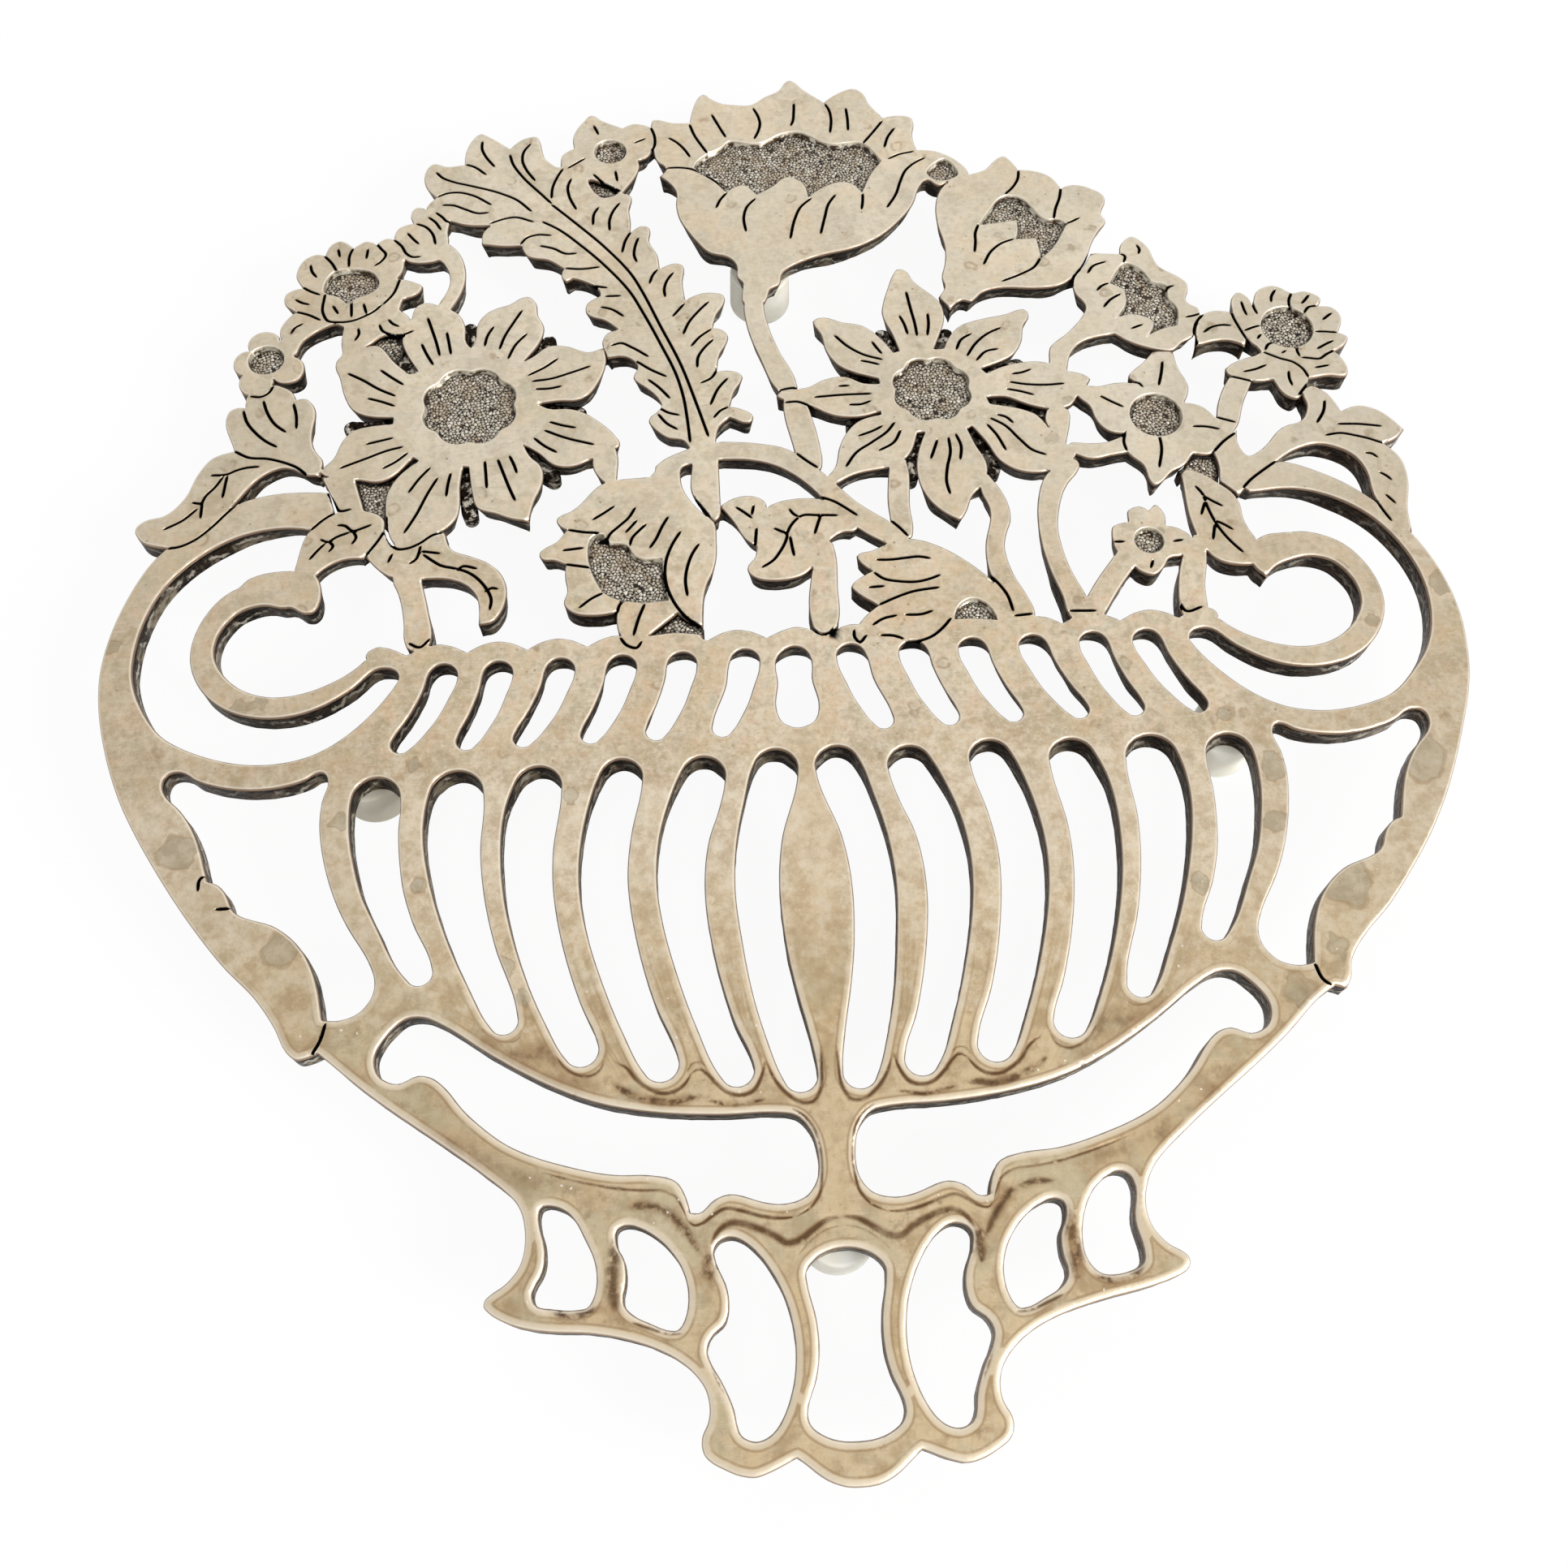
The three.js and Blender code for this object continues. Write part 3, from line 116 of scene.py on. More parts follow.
def curvePoints(parts, length, start, end, slopeStart, slopeEnd):
    # Each side cut into its number of parts, by
    # (2t^3 - 3t^2 + 1) p0 + (t^3 - 2t^2 + t) d T0 + (3t^2 - 2t^3) p1 + (t^3 - t^2) d T1
    side = np.repeat(np.arange(len(parts)), parts)
    t = ((np.arange(len(side)) - np.repeat(np.cumsum(parts) - parts, parts)) / parts[side])[:, None]
    d = length[side, None]
    return (
        (2 * t**3 - 3 * t**2 + 1) * start[side]
        + (t**3 - 2 * t**2 + t) * d * slopeStart[side]
        + (3 * t**2 - 2 * t**3) * end[side]
        + (t**3 - t**2) * d * slopeEnd[side]
    )


def openEdges(faces, total):
    # the sides that only one face has, with that face on their left
    sides = np.concatenate([faces[:, [0, 1]], faces[:, [1, 2]], faces[:, [2, 0]]])
    return sides[~np.isin(sides[:, 0] * total + sides[:, 1], sides[:, 1] * total + sides[:, 0])]


# Outlines of the CAD plate, as smooth curves

outline = {
    "shortest": 0.02 * mm,
    "sameArea": 0.01 * mm * mm,
    "cornerTurn": math.radians(50),
    "closest": 0.36 * mm,
    "widest": 0.95 * mm,
    "sag": 0.012 * mm,
}


def loopsAt(points, corners, height):
    # the edges of the upward faces at this height that no neighbour shares, in order round each loop
    face = corners[np.abs(points[corners, 2] - height).max(axis=1) < plate["sameHeight"]]
    a, b, c = (points[face[:, k], :2] for k in range(3))
    face = face[cross2(b - a, c - a) > 0]
    following = dict(openEdges(face, len(points)).tolist())
    found = []
    for vertex in sorted(following):
        members = []
        while vertex in following:
            members.append(vertex)
            vertex = following.pop(vertex)
        loop = points[members, :2]
        if np.linalg.norm(np.roll(loop, -1, axis=0) - loop, axis=1).sum() > plate["sliverLength"]:
            found.append(loop)
    return found


def loopArea(loop):
    # half the sum of cross(p_i, p_i+1), positive where the loop runs anticlockwise
    return 0.5 * cross2(loop, np.roll(loop, -1, axis=0)).sum()


def smoothLoop(loop):
    # A curve through the loop's points, its slope at each that through the neighbours, or along the
    # side itself at a corner. The parts are as long as sag = d^2 bend / 8 lets them be.
    ahead = np.roll(loop, -1, axis=0) - loop
    length = np.linalg.norm(ahead, axis=1)
    keep = length > outline["shortest"]
    if not keep.all():
        return smoothLoop(loop[keep])
    slope = ahead / length[:, None]
    before = np.roll(slope, 1, axis=0)
    lengthBefore = np.roll(length, 1)
    turn = np.abs(np.arctan2(cross2(before, slope), (before * slope).sum(axis=1)))
    corner = turn > outline["cornerTurn"]
    mixed = slopeThrough(before, slope, lengthBefore, length)
    start = np.where(corner[:, None], slope, mixed)
    end = np.roll(np.where(corner[:, None], before, mixed), -1, axis=0)
    bent = np.where(corner, 0, turn)
    bend = (bent + np.roll(bent, -1)) / (2 * length)
    pitch = np.sqrt(8 * outline["sag"] / np.maximum(bend, 1e-6))
    pitch = np.clip(pitch, outline["closest"], outline["widest"])
    parts = np.maximum(np.ceil(length / pitch).astype(int), 1)
    return curvePoints(parts, length, loop, np.roll(loop, -1, axis=0), start, end)


class Lines:
    # Many short straight sides, of closed loops or open strokes, that distances are measured to.
    def __init__(self, loops, closed=True, values=None):
        start, end, before, after, value = [], [], [], [], []
        for k, loop in enumerate(loops):
            a, b = (loop, np.roll(loop, -1, axis=0)) if closed else (loop[:-1], loop[1:])
            normal = unitRows(leftOf(b - a))
            last = np.roll(normal, 1, axis=0) if closed else normal
            start.append(a)
            end.append(b)
            before.append(unitRows(last + normal))
            after.append(unitRows(normal + (np.roll(normal, -1, axis=0) if closed else normal)))
            value.append(values[k] if values else np.zeros((len(a), 1)))
        self.start, self.end = np.concatenate(start), np.concatenate(end)
        self.before, self.after = np.concatenate(before), np.concatenate(after)
        self.value = np.concatenate(value)

    def distanceTo(self, points, reach):
        return self.measure(points, reach)[0]

    def measure(self, points, reach, tile=9 * mm):
        # For every point p the nearest q = a + clamp((p - a).(b - a) / |b - a|^2) (b - a) on a side,
        # one square of the plate at a time: the distance |p - q|, positive left of the side, which
        # side it is and how far along. Beyond reach the distance is reach and the side is -1.
        distance = np.full(len(points), reach)
        index = np.full(len(points), -1)
        along = np.zeros(len(points))
        cell = np.floor(points / tile).astype(int)
        order = np.lexsort((cell[:, 1], cell[:, 0]))
        changed = np.any(np.diff(cell[order], axis=0) != 0, axis=1)
        middle = (self.start + self.end) / 2
        room = reach + np.linalg.norm(self.end - self.start, axis=1).max() / 2
        for group in np.split(order, np.flatnonzero(changed) + 1):
            corner = cell[group[0]] * tile
            near = (middle > corner - room) & (middle < corner + tile + room)
            near = np.flatnonzero(near.all(axis=1))
            if not len(near):
                continue
            a, span = self.start[near], self.end[near] - self.start[near]
            offset = points[group][:, None] - a
            t = np.clip((offset * span).sum(axis=2) / np.maximum((span**2).sum(axis=1), 1e-18), 0, 1)
            away = offset - t[..., None] * span
            size = np.sqrt((away**2).sum(axis=2))
            best = size.argmin(axis=1)
            row = np.arange(len(group))
            t, away, size = t[row, best], away[row, best], size[row, best]
            flat = unitRows(leftOf(span[best]))
            normal = np.where((t <= 0)[:, None], self.before[near[best]], flat)
            normal = np.where((t >= 1)[:, None], self.after[near[best]], normal)
            within = size < reach
            sign = np.where((away * normal).sum(axis=1) >= 0, 1, -1)
            distance[group] = np.where(within, size * sign, distance[group])
            index[group] = np.where(within, near[best], -1)
            along[group] = t
        return distance, index, along


def inwardNormals(loop):
    # the mean direction of the sides before and after each point, turned to the left
    ahead = unitRows(np.roll(loop, -1, axis=0) - loop)
    return leftOf(unitRows(ahead + np.roll(ahead, 1, axis=0)))


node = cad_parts["pierced_plate"].data
node.calc_loop_triangles()
cadPoints = np.empty(len(node.vertices) * 3, np.float32)
node.vertices.foreach_get("co", cadPoints)
cadPoints, same = np.unique(
    np.round(cadPoints.reshape(-1, 3).astype(float) / plate["weld"]), axis=0, return_inverse=True
)
cadPoints = cadPoints * plate["weld"]
cadCorners = np.empty(len(node.loop_triangles) * 3, np.int32)
node.loop_triangles.foreach_get("vertices", cadCorners)
cadCorners = same.ravel()[cadCorners.reshape(-1, 3)]

topLoops = loopsAt(cadPoints, cadCorners, plate["top"])
floorLoops = loopsAt(cadPoints, cadCorners, plate["floor"])
floorAreas = [loopArea(loop) for loop in floorLoops]
# A hole in the top face whose area a floor has too is a sunk pocket; the rest go right through.
isPocket = [
    any(abs(loopArea(loop) + area) < outline["sameArea"] for area in floorAreas) for loop in topLoops
]
edges = [smoothLoop(loop) for loop, sunk in zip(topLoops, isPocket) if not sunk]
pockets = [smoothLoop(loop) for loop, sunk in zip(topLoops, isPocket) if sunk]
floors = [smoothLoop(loop) for loop in floorLoops]
print("outlines", len(edges), "pockets", len(pockets), "floors", len(floors))


# Engraved lines, each as the points (u, v) that it runs through
engravedLines = [
    # handle leaf left
    [(-40.6, 18), (-41.5, 17.95), (-42.4, 17.7), (-43, 17.4), (-44.3, 17.35)],
    [(-43, 17.3), (-43.2, 15.2)],
    [(-43.3, 17.2), (-43.8, 16.3), (-44.5, 15.4), (-44.8, 14.8), (-45.5, 14.9)],
    [(-44.7, 14.9), (-44.7, 13.4)],
    [(-45, 14.3), (-46, 13.3), (-47.4, 12.5)],
    [(-42.7, 19.6), (-41.5, 18.9), (-40, 18.7), (-38.8, 18.3), (-37.8, 17.8), (-36.9, 17)],
    [(-42, 14.6), (-42.8, 13.7), (-43.8, 12.5), (-45, 11.4), (-46, 10.9), (-47, 10.75)],
    [(-35.2, 15.2), (-34.6, 14.2), (-34.2, 13.5), (-33.3, 13.6)],
    [(-34.4, 13.4), (-35.3, 12.8), (-36.3, 11.8)],
    # left leaf
    [(-34.3, 12.2), (-33.7, 12.1), (-33.1, 11.6), (-32.4, 11.8), (-31.7, 12.1)],
    [(-33.1, 11.6), (-32.8, 11), (-33.1, 10.4)],
    [(-33.3, 11.5), (-34.3, 11.1), (-35, 10.7), (-35.5, 11)],
    [(-34.9, 10.8), (-34.5, 10.3), (-34.8, 9.8)],
    [(-35.1, 10.6), (-35.7, 9.9), (-36.2, 9.2)],
    [(-30.6, 11.6), (-31.2, 10.5), (-32, 9.3)],
    # curled leaf
    [
        (-30.6, 12.8), (-30.5, 11.5), (-30.2, 10.3), (-29.7, 9.8), (-28.9, 9.8), (-28, 10.2),
        (-27, 10.9), (-26.3, 11.1),
    ],
    [(-30.3, 8.6), (-30, 9.4)],
    [(-28.7, 8.4), (-28.2, 8.8), (-28, 9.4), (-27.9, 10)],
    [(-27.9, 9.5), (-26.4, 9.2)],
    [
        (-27.7, 9.2), (-27, 8.6), (-26.3, 8.1), (-25.3, 7.8), (-24.3, 7.4), (-23.3, 6.5),
        (-22.9, 5.9), (-22.5, 4.9), (-22.6, 4),
    ],
    [(-25.1, 7.6), (-24.8, 7.9), (-23.6, 7.7)],
    [(-23, 5.6), (-22.5, 5.9), (-22, 5.8)],
    # left flower
    [(-26.8, 16.2), (-27.5, 14.8), (-28.3, 12.9), (-29.2, 11.2)],
    [(-27.4, 17.2), (-28.2, 16.2), (-29, 14.9)],
    [(-25.8, 16.6), (-26, 15.5), (-26.1, 14.4)],
    [(-29.6, 19.3), (-30.8, 19), (-32.5, 18.3), (-34.4, 17.5)],
    [(-29.2, 18.7), (-30.1, 17.9), (-31.1, 17.3)],
    [(-30.4, 20.2), (-32.5, 19.7)],
    [(-34.3, 26.8), (-33, 26), (-31.8, 25.1), (-30.4, 24.3)],
    [(-31.7, 27), (-30.8, 26.2), (-29.8, 25.4)],
    [(-32.6, 24.2), (-31.5, 23.8), (-30.4, 23.3)],
    [(-28.1, 32.2), (-27.7, 30.9), (-27.3, 29.5), (-27, 28.2)],
    [(-28.5, 29.5), (-28.1, 28.5), (-27.5, 27.3)],
    [(-26.5, 30.6), (-26.3, 29.5), (-26.1, 28.3)],
    [(-20.4, 32.6), (-21.1, 31.3), (-21.8, 29.9), (-22.2, 28.6)],
    [(-22.7, 31), (-23.2, 30), (-23.4, 29)],
    [(-20, 30.1), (-20.9, 29), (-21.5, 27.6)],
    [(-17.5, 27.4), (-18.5, 26.6), (-19.9, 25.8)],
    [(-14.9, 26.5), (-16.5, 25.9), (-18, 25.4), (-19.6, 25.2)],
    [(-17.2, 24.6), (-18.2, 24.4), (-19.3, 24.4)],
    [(-18.2, 21.1), (-17.2, 20.7), (-16.1, 20.4)],
    [(-18.6, 20.3), (-17, 19.5), (-14.7, 18.7)],
    [(-19.4, 19.6), (-18.6, 18.8), (-17.6, 18.1)],
    [(-22.2, 17.7), (-21.7, 16.2), (-21.3, 15), (-20.8, 13.7)],
    [(-21.3, 18), (-20.9, 17), (-20.7, 16.3)],
    [(-23.2, 17.6), (-23.1, 16.4), (-23, 15)],
    # drooping sunflower
    [(-14.9, 11.6), (-14, 12.2), (-13.2, 12.8)],
    [(-13.9, 9.5), (-13.6, 10.2), (-12.9, 10.9), (-12.1, 11.7), (-11.6, 12.6)],
    [(-12.4, 10.3), (-11.9, 10.9), (-11.5, 11.4)],
    [(-10.8, 11), (-11.4, 10.4), (-11.9, 9.8), (-12.1, 9.1)],
    [(-9.1, 11.6), (-9.6, 10.7), (-10.1, 9.6), (-10.6, 8.8)],
    [
        (-8.2, 10.2), (-8.9, 9), (-9.4, 7.6), (-9.5, 6), (-9.2, 4.6), (-8.6, 3.3), (-7.8, 2.3),
        (-7.1, 1.8),
    ],
    [(-6.85, 9), (-7.4, 8.1), (-7.8, 7), (-8, 5.8), (-7.9, 4.4)],
    [(-17.2, 8.95), (-15.6, 9.1)],
    [(-17, 7.7), (-16, 7.5), (-15.1, 7.3)],
    [(-16, 3.8), (-15, 4.6), (-14.2, 5)],
    [(-13.2, 3.1), (-12.9, 4), (-12.5, 4.4)],
    [(-11.1, 3.9), (-11.6, 2.6), (-12, 1.2)],
    [(-16.8, 10.8), (-15.5, 10.5), (-14.4, 10.4)],
    [(-13, 1.1), (-12.5, 0.4), (-11.8, 0.15), (-11.4, 0.7)],
    [(-7.9, 15.5), (-7.3, 13.5), (-6.6, 12.5), (-5.9, 11.3)],
    # drawn leaf
    [
        (-2.2, 6.6), (-1.3, 7.2), (-0.7, 8), (-0.2, 9), (0, 9.8), (0.5, 10.6), (1.1, 11.1),
        (2.3, 11.1), (3.9, 11),
    ],
    [(0, 9.5), (-0.6, 9.8), (-1.1, 10.1)],
    [(0.9, 11), (0.5, 11.3), (0.2, 11.8)],
    [(2.6, 11.1), (2.3, 10.3), (2, 9.4)],
    [(0.1, 9.3), (0.2, 8.3), (0.3, 7.5)],
    [(2.6, 12.8), (3.7, 12.3), (4.6, 11.6), (5.4, 10.9)],
    [(-3.9, 12.2), (-3.2, 11.6), (-2.7, 11.1)],
    [(-2.5, 12.3), (-2.7, 11.4)],
    [(-2.4, 10.2), (-2.5, 9.4), (-2.6, 8.5)],
    # drooping tulip
    [(6.5, 6.8), (7.5, 6.75), (8.8, 6.85), (9.7, 6.9), (10.6, 6.7)],
    [(6.2, 5.7), (6.9, 5.1), (8, 4.8), (9.5, 4.7), (10.4, 4.9), (11.2, 5.2)],
    [(5.7, 4.4), (6.9, 4.45)],
    [(6.3, 2.8), (7.4, 3.3), (8.8, 3.8), (11, 4.1)],
    [(5.7, 1.1), (6.5, 1.6), (7.6, 1.85)],
    [(8.2, 1.85), (9.5, 1.85), (10.3, 2.1)],
    [(6.2, 0.2), (7.2, 0.1), (7.9, -0.2)],
    [(8, -0.5), (9, -0.45), (10, -0.1), (11, 0.7), (11.6, 1.4)],
    [(14.7, 5.2), (15.4, 4.3), (16, 3.2), (16.3, 1.7)],
    [(16.3, 1.3), (17.7, 1.4)],
    [(4.3, 0.8), (4.3, 0.1), (4.6, -0.3), (5.2, 0.3)],
    # stem feet
    [(1.1, 1.1), (1.9, 0.5), (3.1, 1.1)],
    [(20.5, 1.5), (22.5, 1.4)],
    [(28.8, 1.9), (29.2, 1), (30.5, 1.3)],
    [(-28.5, 1.5), (-27.7, 1.1), (-26.9, 1.8)],
    # right flower
    [(11.3, 32.9), (11.5, 31), (11.7, 29.3), (11.75, 28.2)],
    [(10.5, 30.4), (10.8, 29.5), (11, 28.4)],
    [(12.85, 30.5), (12.8, 29.3), (12.6, 28.2)],
    [(18.7, 28.7), (17.5, 28.1), (16.4, 27.1), (15.6, 25.9)],
    [(16.2, 28.2), (15.3, 27.6), (14.8, 26.6)],
    [(18.2, 26.5), (17.2, 26.3), (16.3, 25.4)],
    [(20.6, 24.3), (19.8, 24), (19, 23.9)],
    [(18.7, 23.1), (20, 22.8), (21.5, 22.65), (23.1, 22.7)],
    [(18.4, 22.4), (19.5, 22.1), (20.5, 21.7)],
    [(16.7, 19.6), (17.8, 18.8), (18.8, 17.4), (19.7, 16.3), (20.7, 15.8)],
    [(16.4, 19), (17, 18), (17.6, 16.4)],
    [(17.3, 19.9), (18, 19.6), (18.5, 19)],
    [(13.2, 17.9), (13.2, 16.5), (12.8, 15), (12.6, 13.6), (12.75, 12.5)],
    [(12.3, 17.7), (12, 16.9), (11.6, 15.9)],
    [(13.8, 18.2), (14.1, 17), (13.9, 15.7)],
    [(9.1, 19.6), (8.5, 18.8), (7.2, 17.8), (5.8, 16.8), (4.9, 15.5)],
    [(9.5, 18.8), (8.9, 17.7), (7.6, 16.9)],
    [(8.1, 19.3), (7.4, 18.9), (6.1, 18.4)],
    [(2.9, 22.4), (5, 22.5), (7.5, 22.5)],
    [(4.9, 23.4), (5.8, 23.4)],
    [(5.6, 21.5), (6.6, 21.5), (7.4, 21.8)],
    [(5, 28.6), (6, 27.4), (7.2, 26.5), (8.7, 25.9)],
    [(8, 27.8), (8.3, 27.2), (8.7, 26.5)],
    [(6.9, 25.9), (7.6, 25.7), (8.4, 25.4)],
    [(0.1, 23.2), (1.2, 23.4), (1.7, 23.3)],
    [(0.5, 22), (1.6, 22), (2.5, 21.5), (3, 21.1)],
    [(1.1, 17), (1.9, 16.2), (2.7, 15.5)],
    [(7.9, 10.3), (8.6, 9.5), (9.1, 8.8)],
    # top tulip
    [(-5.9, 52.9), (-5.5, 51.5), (-4.9, 50.2), (-4.5, 49.4)],
    [(-9.3, 52.7), (-9, 51.5), (-9.1, 50.3), (-9.4, 49.8)],
    [(-7.8, 51.4), (-7.1, 50.8), (-6.5, 50), (-6, 49)],
    [(-3.9, 54), (-3.4, 52.7), (-2.8, 51.2)],
    [(-0.2, 54.6), (0.2, 53.5), (0.3, 52.7), (0.1, 51.8), (-0.3, 50.9)],
    [(3.45, 55), (3.35, 53.8), (3.2, 52.8), (3, 52.3)],
    [(6.2, 54.8), (6.5, 54), (6.6, 53), (6.4, 51.3)],
    [(8, 54.2), (8.05, 52.8), (8, 51.5)],
    [(11.1, 52.5), (10.4, 51.5), (9.2, 49.9)],
    [(12.1, 51.6), (11.4, 50.5), (11, 49.3)],
    [(11.2, 47.9), (12.2, 48.4), (13.5, 48.7)],
    [(14.4, 47.9), (13.4, 47.3), (12.6, 46.5), (12, 45.2), (11.5, 43.8), (10.6, 42.3)],
    [(8.65, 44), (8.55, 43), (8.4, 42.2)],
    [(6.3, 44), (5.6, 42.9), (5.2, 41.5), (4.7, 39.6)],
    [(4.2, 43.7), (3.2, 42.7), (2.6, 41.3), (2.1, 39.2)],
    [(-0.6, 43.9), (-1.4, 42.9), (-1.7, 41.8), (-1.6, 40.2)],
    [(-3, 44.7), (-3.6, 43.9), (-4, 43)],
    [(-8.1, 47.8), (-7, 47.8), (-6, 47.6), (-4.8, 46.8), (-3.8, 45.9), (-3, 44.8)],
    # rose
    [(22.4, 46), (22.2, 45), (21.6, 44), (20.9, 43.3)],
    [(25.8, 43.8), (25.5, 42.6), (25, 41.4), (24.7, 40.3)],
    [(25.7, 39.7), (26.2, 39.9), (26.9, 40.3)],
    [(18.2, 40), (17.8, 39), (17.7, 38), (17.5, 36.9)],
    [(21, 38.2), (19.8, 37.7), (18.9, 36.9), (18.1, 35.5)],
    [(23, 36), (22.3, 35), (21.1, 34.3), (19.4, 33.6)],
    [(27.2, 36.3), (26.4, 34.9), (25.4, 33.6), (25.2, 32.8)],
    # small sunflower
    [(26.7, 34.1), (27.2, 34.8), (28.4, 35.3)],
    [(27.2, 32.2), (27.7, 32.7), (28.3, 32.95)],
    [(27.5, 30.4), (28.1, 31.1), (29.1, 31.75)],
    [(29.4, 28), (29.9, 28.2), (30.4, 28.4)],
    [(31.3, 37), (31.45, 36.4), (31.3, 36)],
    [(29.7, 36.1), (30.1, 35.8), (29.9, 35.1)],
    [(33, 32.2), (33.7, 32.4)],
    [(34.1, 29), (34.7, 29.1), (35.4, 29.3)],
    [(35.3, 27.3), (36, 27.8), (37, 28), (37.7, 27.9)],
    [(35.6, 29.2), (34.9, 28.4), (34.5, 27.3), (34.6, 26)],
    # right daisy
    [(38, 30.5), (38, 29), (38.3, 27.7), (38.9, 26), (39.6, 25)],
    [(39.9, 30.4), (39.95, 29.6), (40.1, 29)],
    [(43.4, 31.1), (43, 30.3), (42.9, 29.4)],
    [(45.3, 29.6), (44.5, 29.5), (44, 28.9)],
    [(46.3, 26.7), (45.3, 26.85), (44.5, 26.9)],
    [(45.7, 24.9), (44.9, 24.5), (44.3, 24.1), (43.4, 24.2), (42.8, 24.3)],
    [(42.7, 24.4), (42.6, 25), (42.7, 25.6)],
    [(40, 25.2), (40.4, 25.8), (41, 26)],
    [(39.8, 25), (41, 24.3), (42.1, 23.8), (42.7, 23.1), (43, 22.2)],
    [(42.9, 21.8), (42.4, 21.2), (41.8, 20.5)],
    [(38.7, 27.3), (39.4, 27.6), (40.1, 27.8)],
    [(39, 30.4), (39.1, 29.4), (39.2, 28.9)],
    [(42.1, 31.5), (41.6, 30.7), (41.5, 30.2)],
    [(44.8, 30.8), (44.3, 30.2), (44, 29.9)],
    [(46.3, 28.8), (45.9, 28.5), (45.4, 28.1)],
    [(45.8, 25.9), (45, 25.5), (44.3, 25.1)],
    [(44.9, 23.4), (43.7, 23.2)],
    [(40, 26.9), (39.6, 26.4)],
    [(41.7, 25.1), (41.3, 24.8)],
    [(41.5, 23), (41.4, 22.3), (41.5, 21.5)],
    [(37.8, 23.1), (38.8, 23.3), (39.8, 23.7)],
    [(36.6, 22.7), (37.5, 22.4), (38.5, 22)],
    # branch right
    [(43.8, 19.9), (43.5, 18.9), (42.7, 17.7)],
    [(44.3, 17.5), (46, 17.4), (47.8, 17.1)],
    [(43.1, 16.45), (44.3, 16.6), (45.5, 16.3), (46.6, 15.9), (47.6, 15.4)],
    [(45.9, 14.6), (46.4, 14.5), (46.8, 14.1)],
    [(46.6, 12.7), (47.1, 12.3), (47.4, 11.9)],
    [(46.6, 10.6), (47, 10), (47.2, 9.7)],
    [(45.7, 10.2), (46, 9.3), (46.5, 8.1)],
    [(38.7, 14.2), (37.5, 13.4), (36.3, 12.5), (35.6, 11.8)],
    [(31.9, 12.2), (32.3, 11.5), (32.5, 10.2), (32.7, 9.3), (33.2, 7.9), (33.7, 7), (34.5, 5.9)],
    [(32.4, 11.2), (33, 10.7), (33.7, 10.2)],
    [(32.4, 10.7), (31.9, 9.5)],
    [(32.9, 8.9), (33.5, 8.5), (34.1, 8)],
    [(32.8, 8.6), (32.4, 7.2)],
    [(33.05, -26.8), (33.5, -28.1), (33.9, -28.4)],
    [(-32.8, -27), (-33.1, -28.2), (-33.6, -29.1)],
    [(-42, -17.2), (-41.9, -16.3), (-41.6, -16.1)],
    [(-40.7, -18.6), (-39.7, -18.6)],
    # tiny flower
    [(24.7, 7.4), (25.6, 7.4)],
    [(29.3, 7.2), (30.1, 7.3)],
    [(27.5, 5.6), (27.2, 4.9)],
    [(28, 10.5), (27.9, 10.1)],
    # square flower
    [(25.8, 21.3), (26.6, 20.7), (27.5, 20.1)],
    [(29.9, 17.4), (29.9, 16), (29.4, 14.1)],
    [(32.7, 17.9), (33.8, 17.8), (34.8, 17.5)],
    [(31.4, 24.5), (31.1, 23.3), (30.7, 22.1)],
    [(28.6, 22.5), (29.1, 22.4), (29.4, 22)],
    [(34.7, 18.7), (36.2, 18.1)],
    [(36, 17.1), (34.9, 16.3), (33.9, 15.3)],
    [(27.3, 17.7), (27, 16.7), (27.1, 15.8)],
    # left daisy
    [(-36.9, 39.3), (-36.2, 38.4), (-35.8, 37.6)],
    [(-38, 38.4), (-37.8, 37.6), (-37.4, 37)],
    [(-35.8, 40), (-35.6, 39.1)],
    [(-34.5, 40.1), (-34.8, 39.2), (-34.8, 38)],
    [(-33.3, 39.9), (-33.4, 38.8)],
    [(-32.7, 40.5), (-32.2, 39.8), (-31.8, 39.2), (-32.2, 38.4), (-32.7, 38)],
    [(-38.5, 36), (-37.8, 35.5), (-37, 35.1)],
    [(-39, 34.7), (-38.4, 34.3), (-37.8, 34.1)],
    [(-38.9, 33.4), (-37.8, 33), (-36.8, 32.4)],
    [
        (-36.6, 35.2), (-36.6, 33), (-36.2, 32.3), (-35.3, 32.1), (-34.2, 32.2), (-33.3, 32.6),
        (-32.4, 33.2), (-31.9, 33.8),
    ],
    [(-35.9, 33.9), (-35.4, 33)],
    [(-34.4, 34.3), (-34.3, 32.6)],
    [(-33.4, 34), (-33.1, 32.9)],
    [(-38.2, 32.1), (-38.8, 31.7), (-39.1, 31.1)],
    [(-33.7, 31.4), (-33.6, 30.8), (-33.9, 30.1)],
    [(-31.3, 32.2), (-30.9, 31.7), (-30.4, 31.4)],
    [(-32, 31.7), (-31.7, 31), (-31, 30.6), (-30.2, 30.5), (-29.2, 30.9)],
    [(-31.8, 33.8), (-31, 34.9), (-30.5, 36.5)],
    # bud trio
    [(-42.3, 23.5), (-41.9, 22.3), (-41.2, 21.3), (-40.3, 20.4), (-39.4, 19.8)],
    [(-40.8, 24.4), (-40.4, 23.2), (-39.7, 22), (-38.8, 21.2)],
    [(-38.4, 24), (-38.1, 22.8), (-38, 21.5)],
    [(-41.9, 24.9), (-41, 24.8), (-40.4, 25.2), (-40.1, 25.9)],
    # upper bud
    [(-30.1, 41.5), (-29.6, 40.8), (-29.1, 40.2)],
    [(-28.4, 43.2), (-27.8, 42.6), (-27.3, 41.7)],
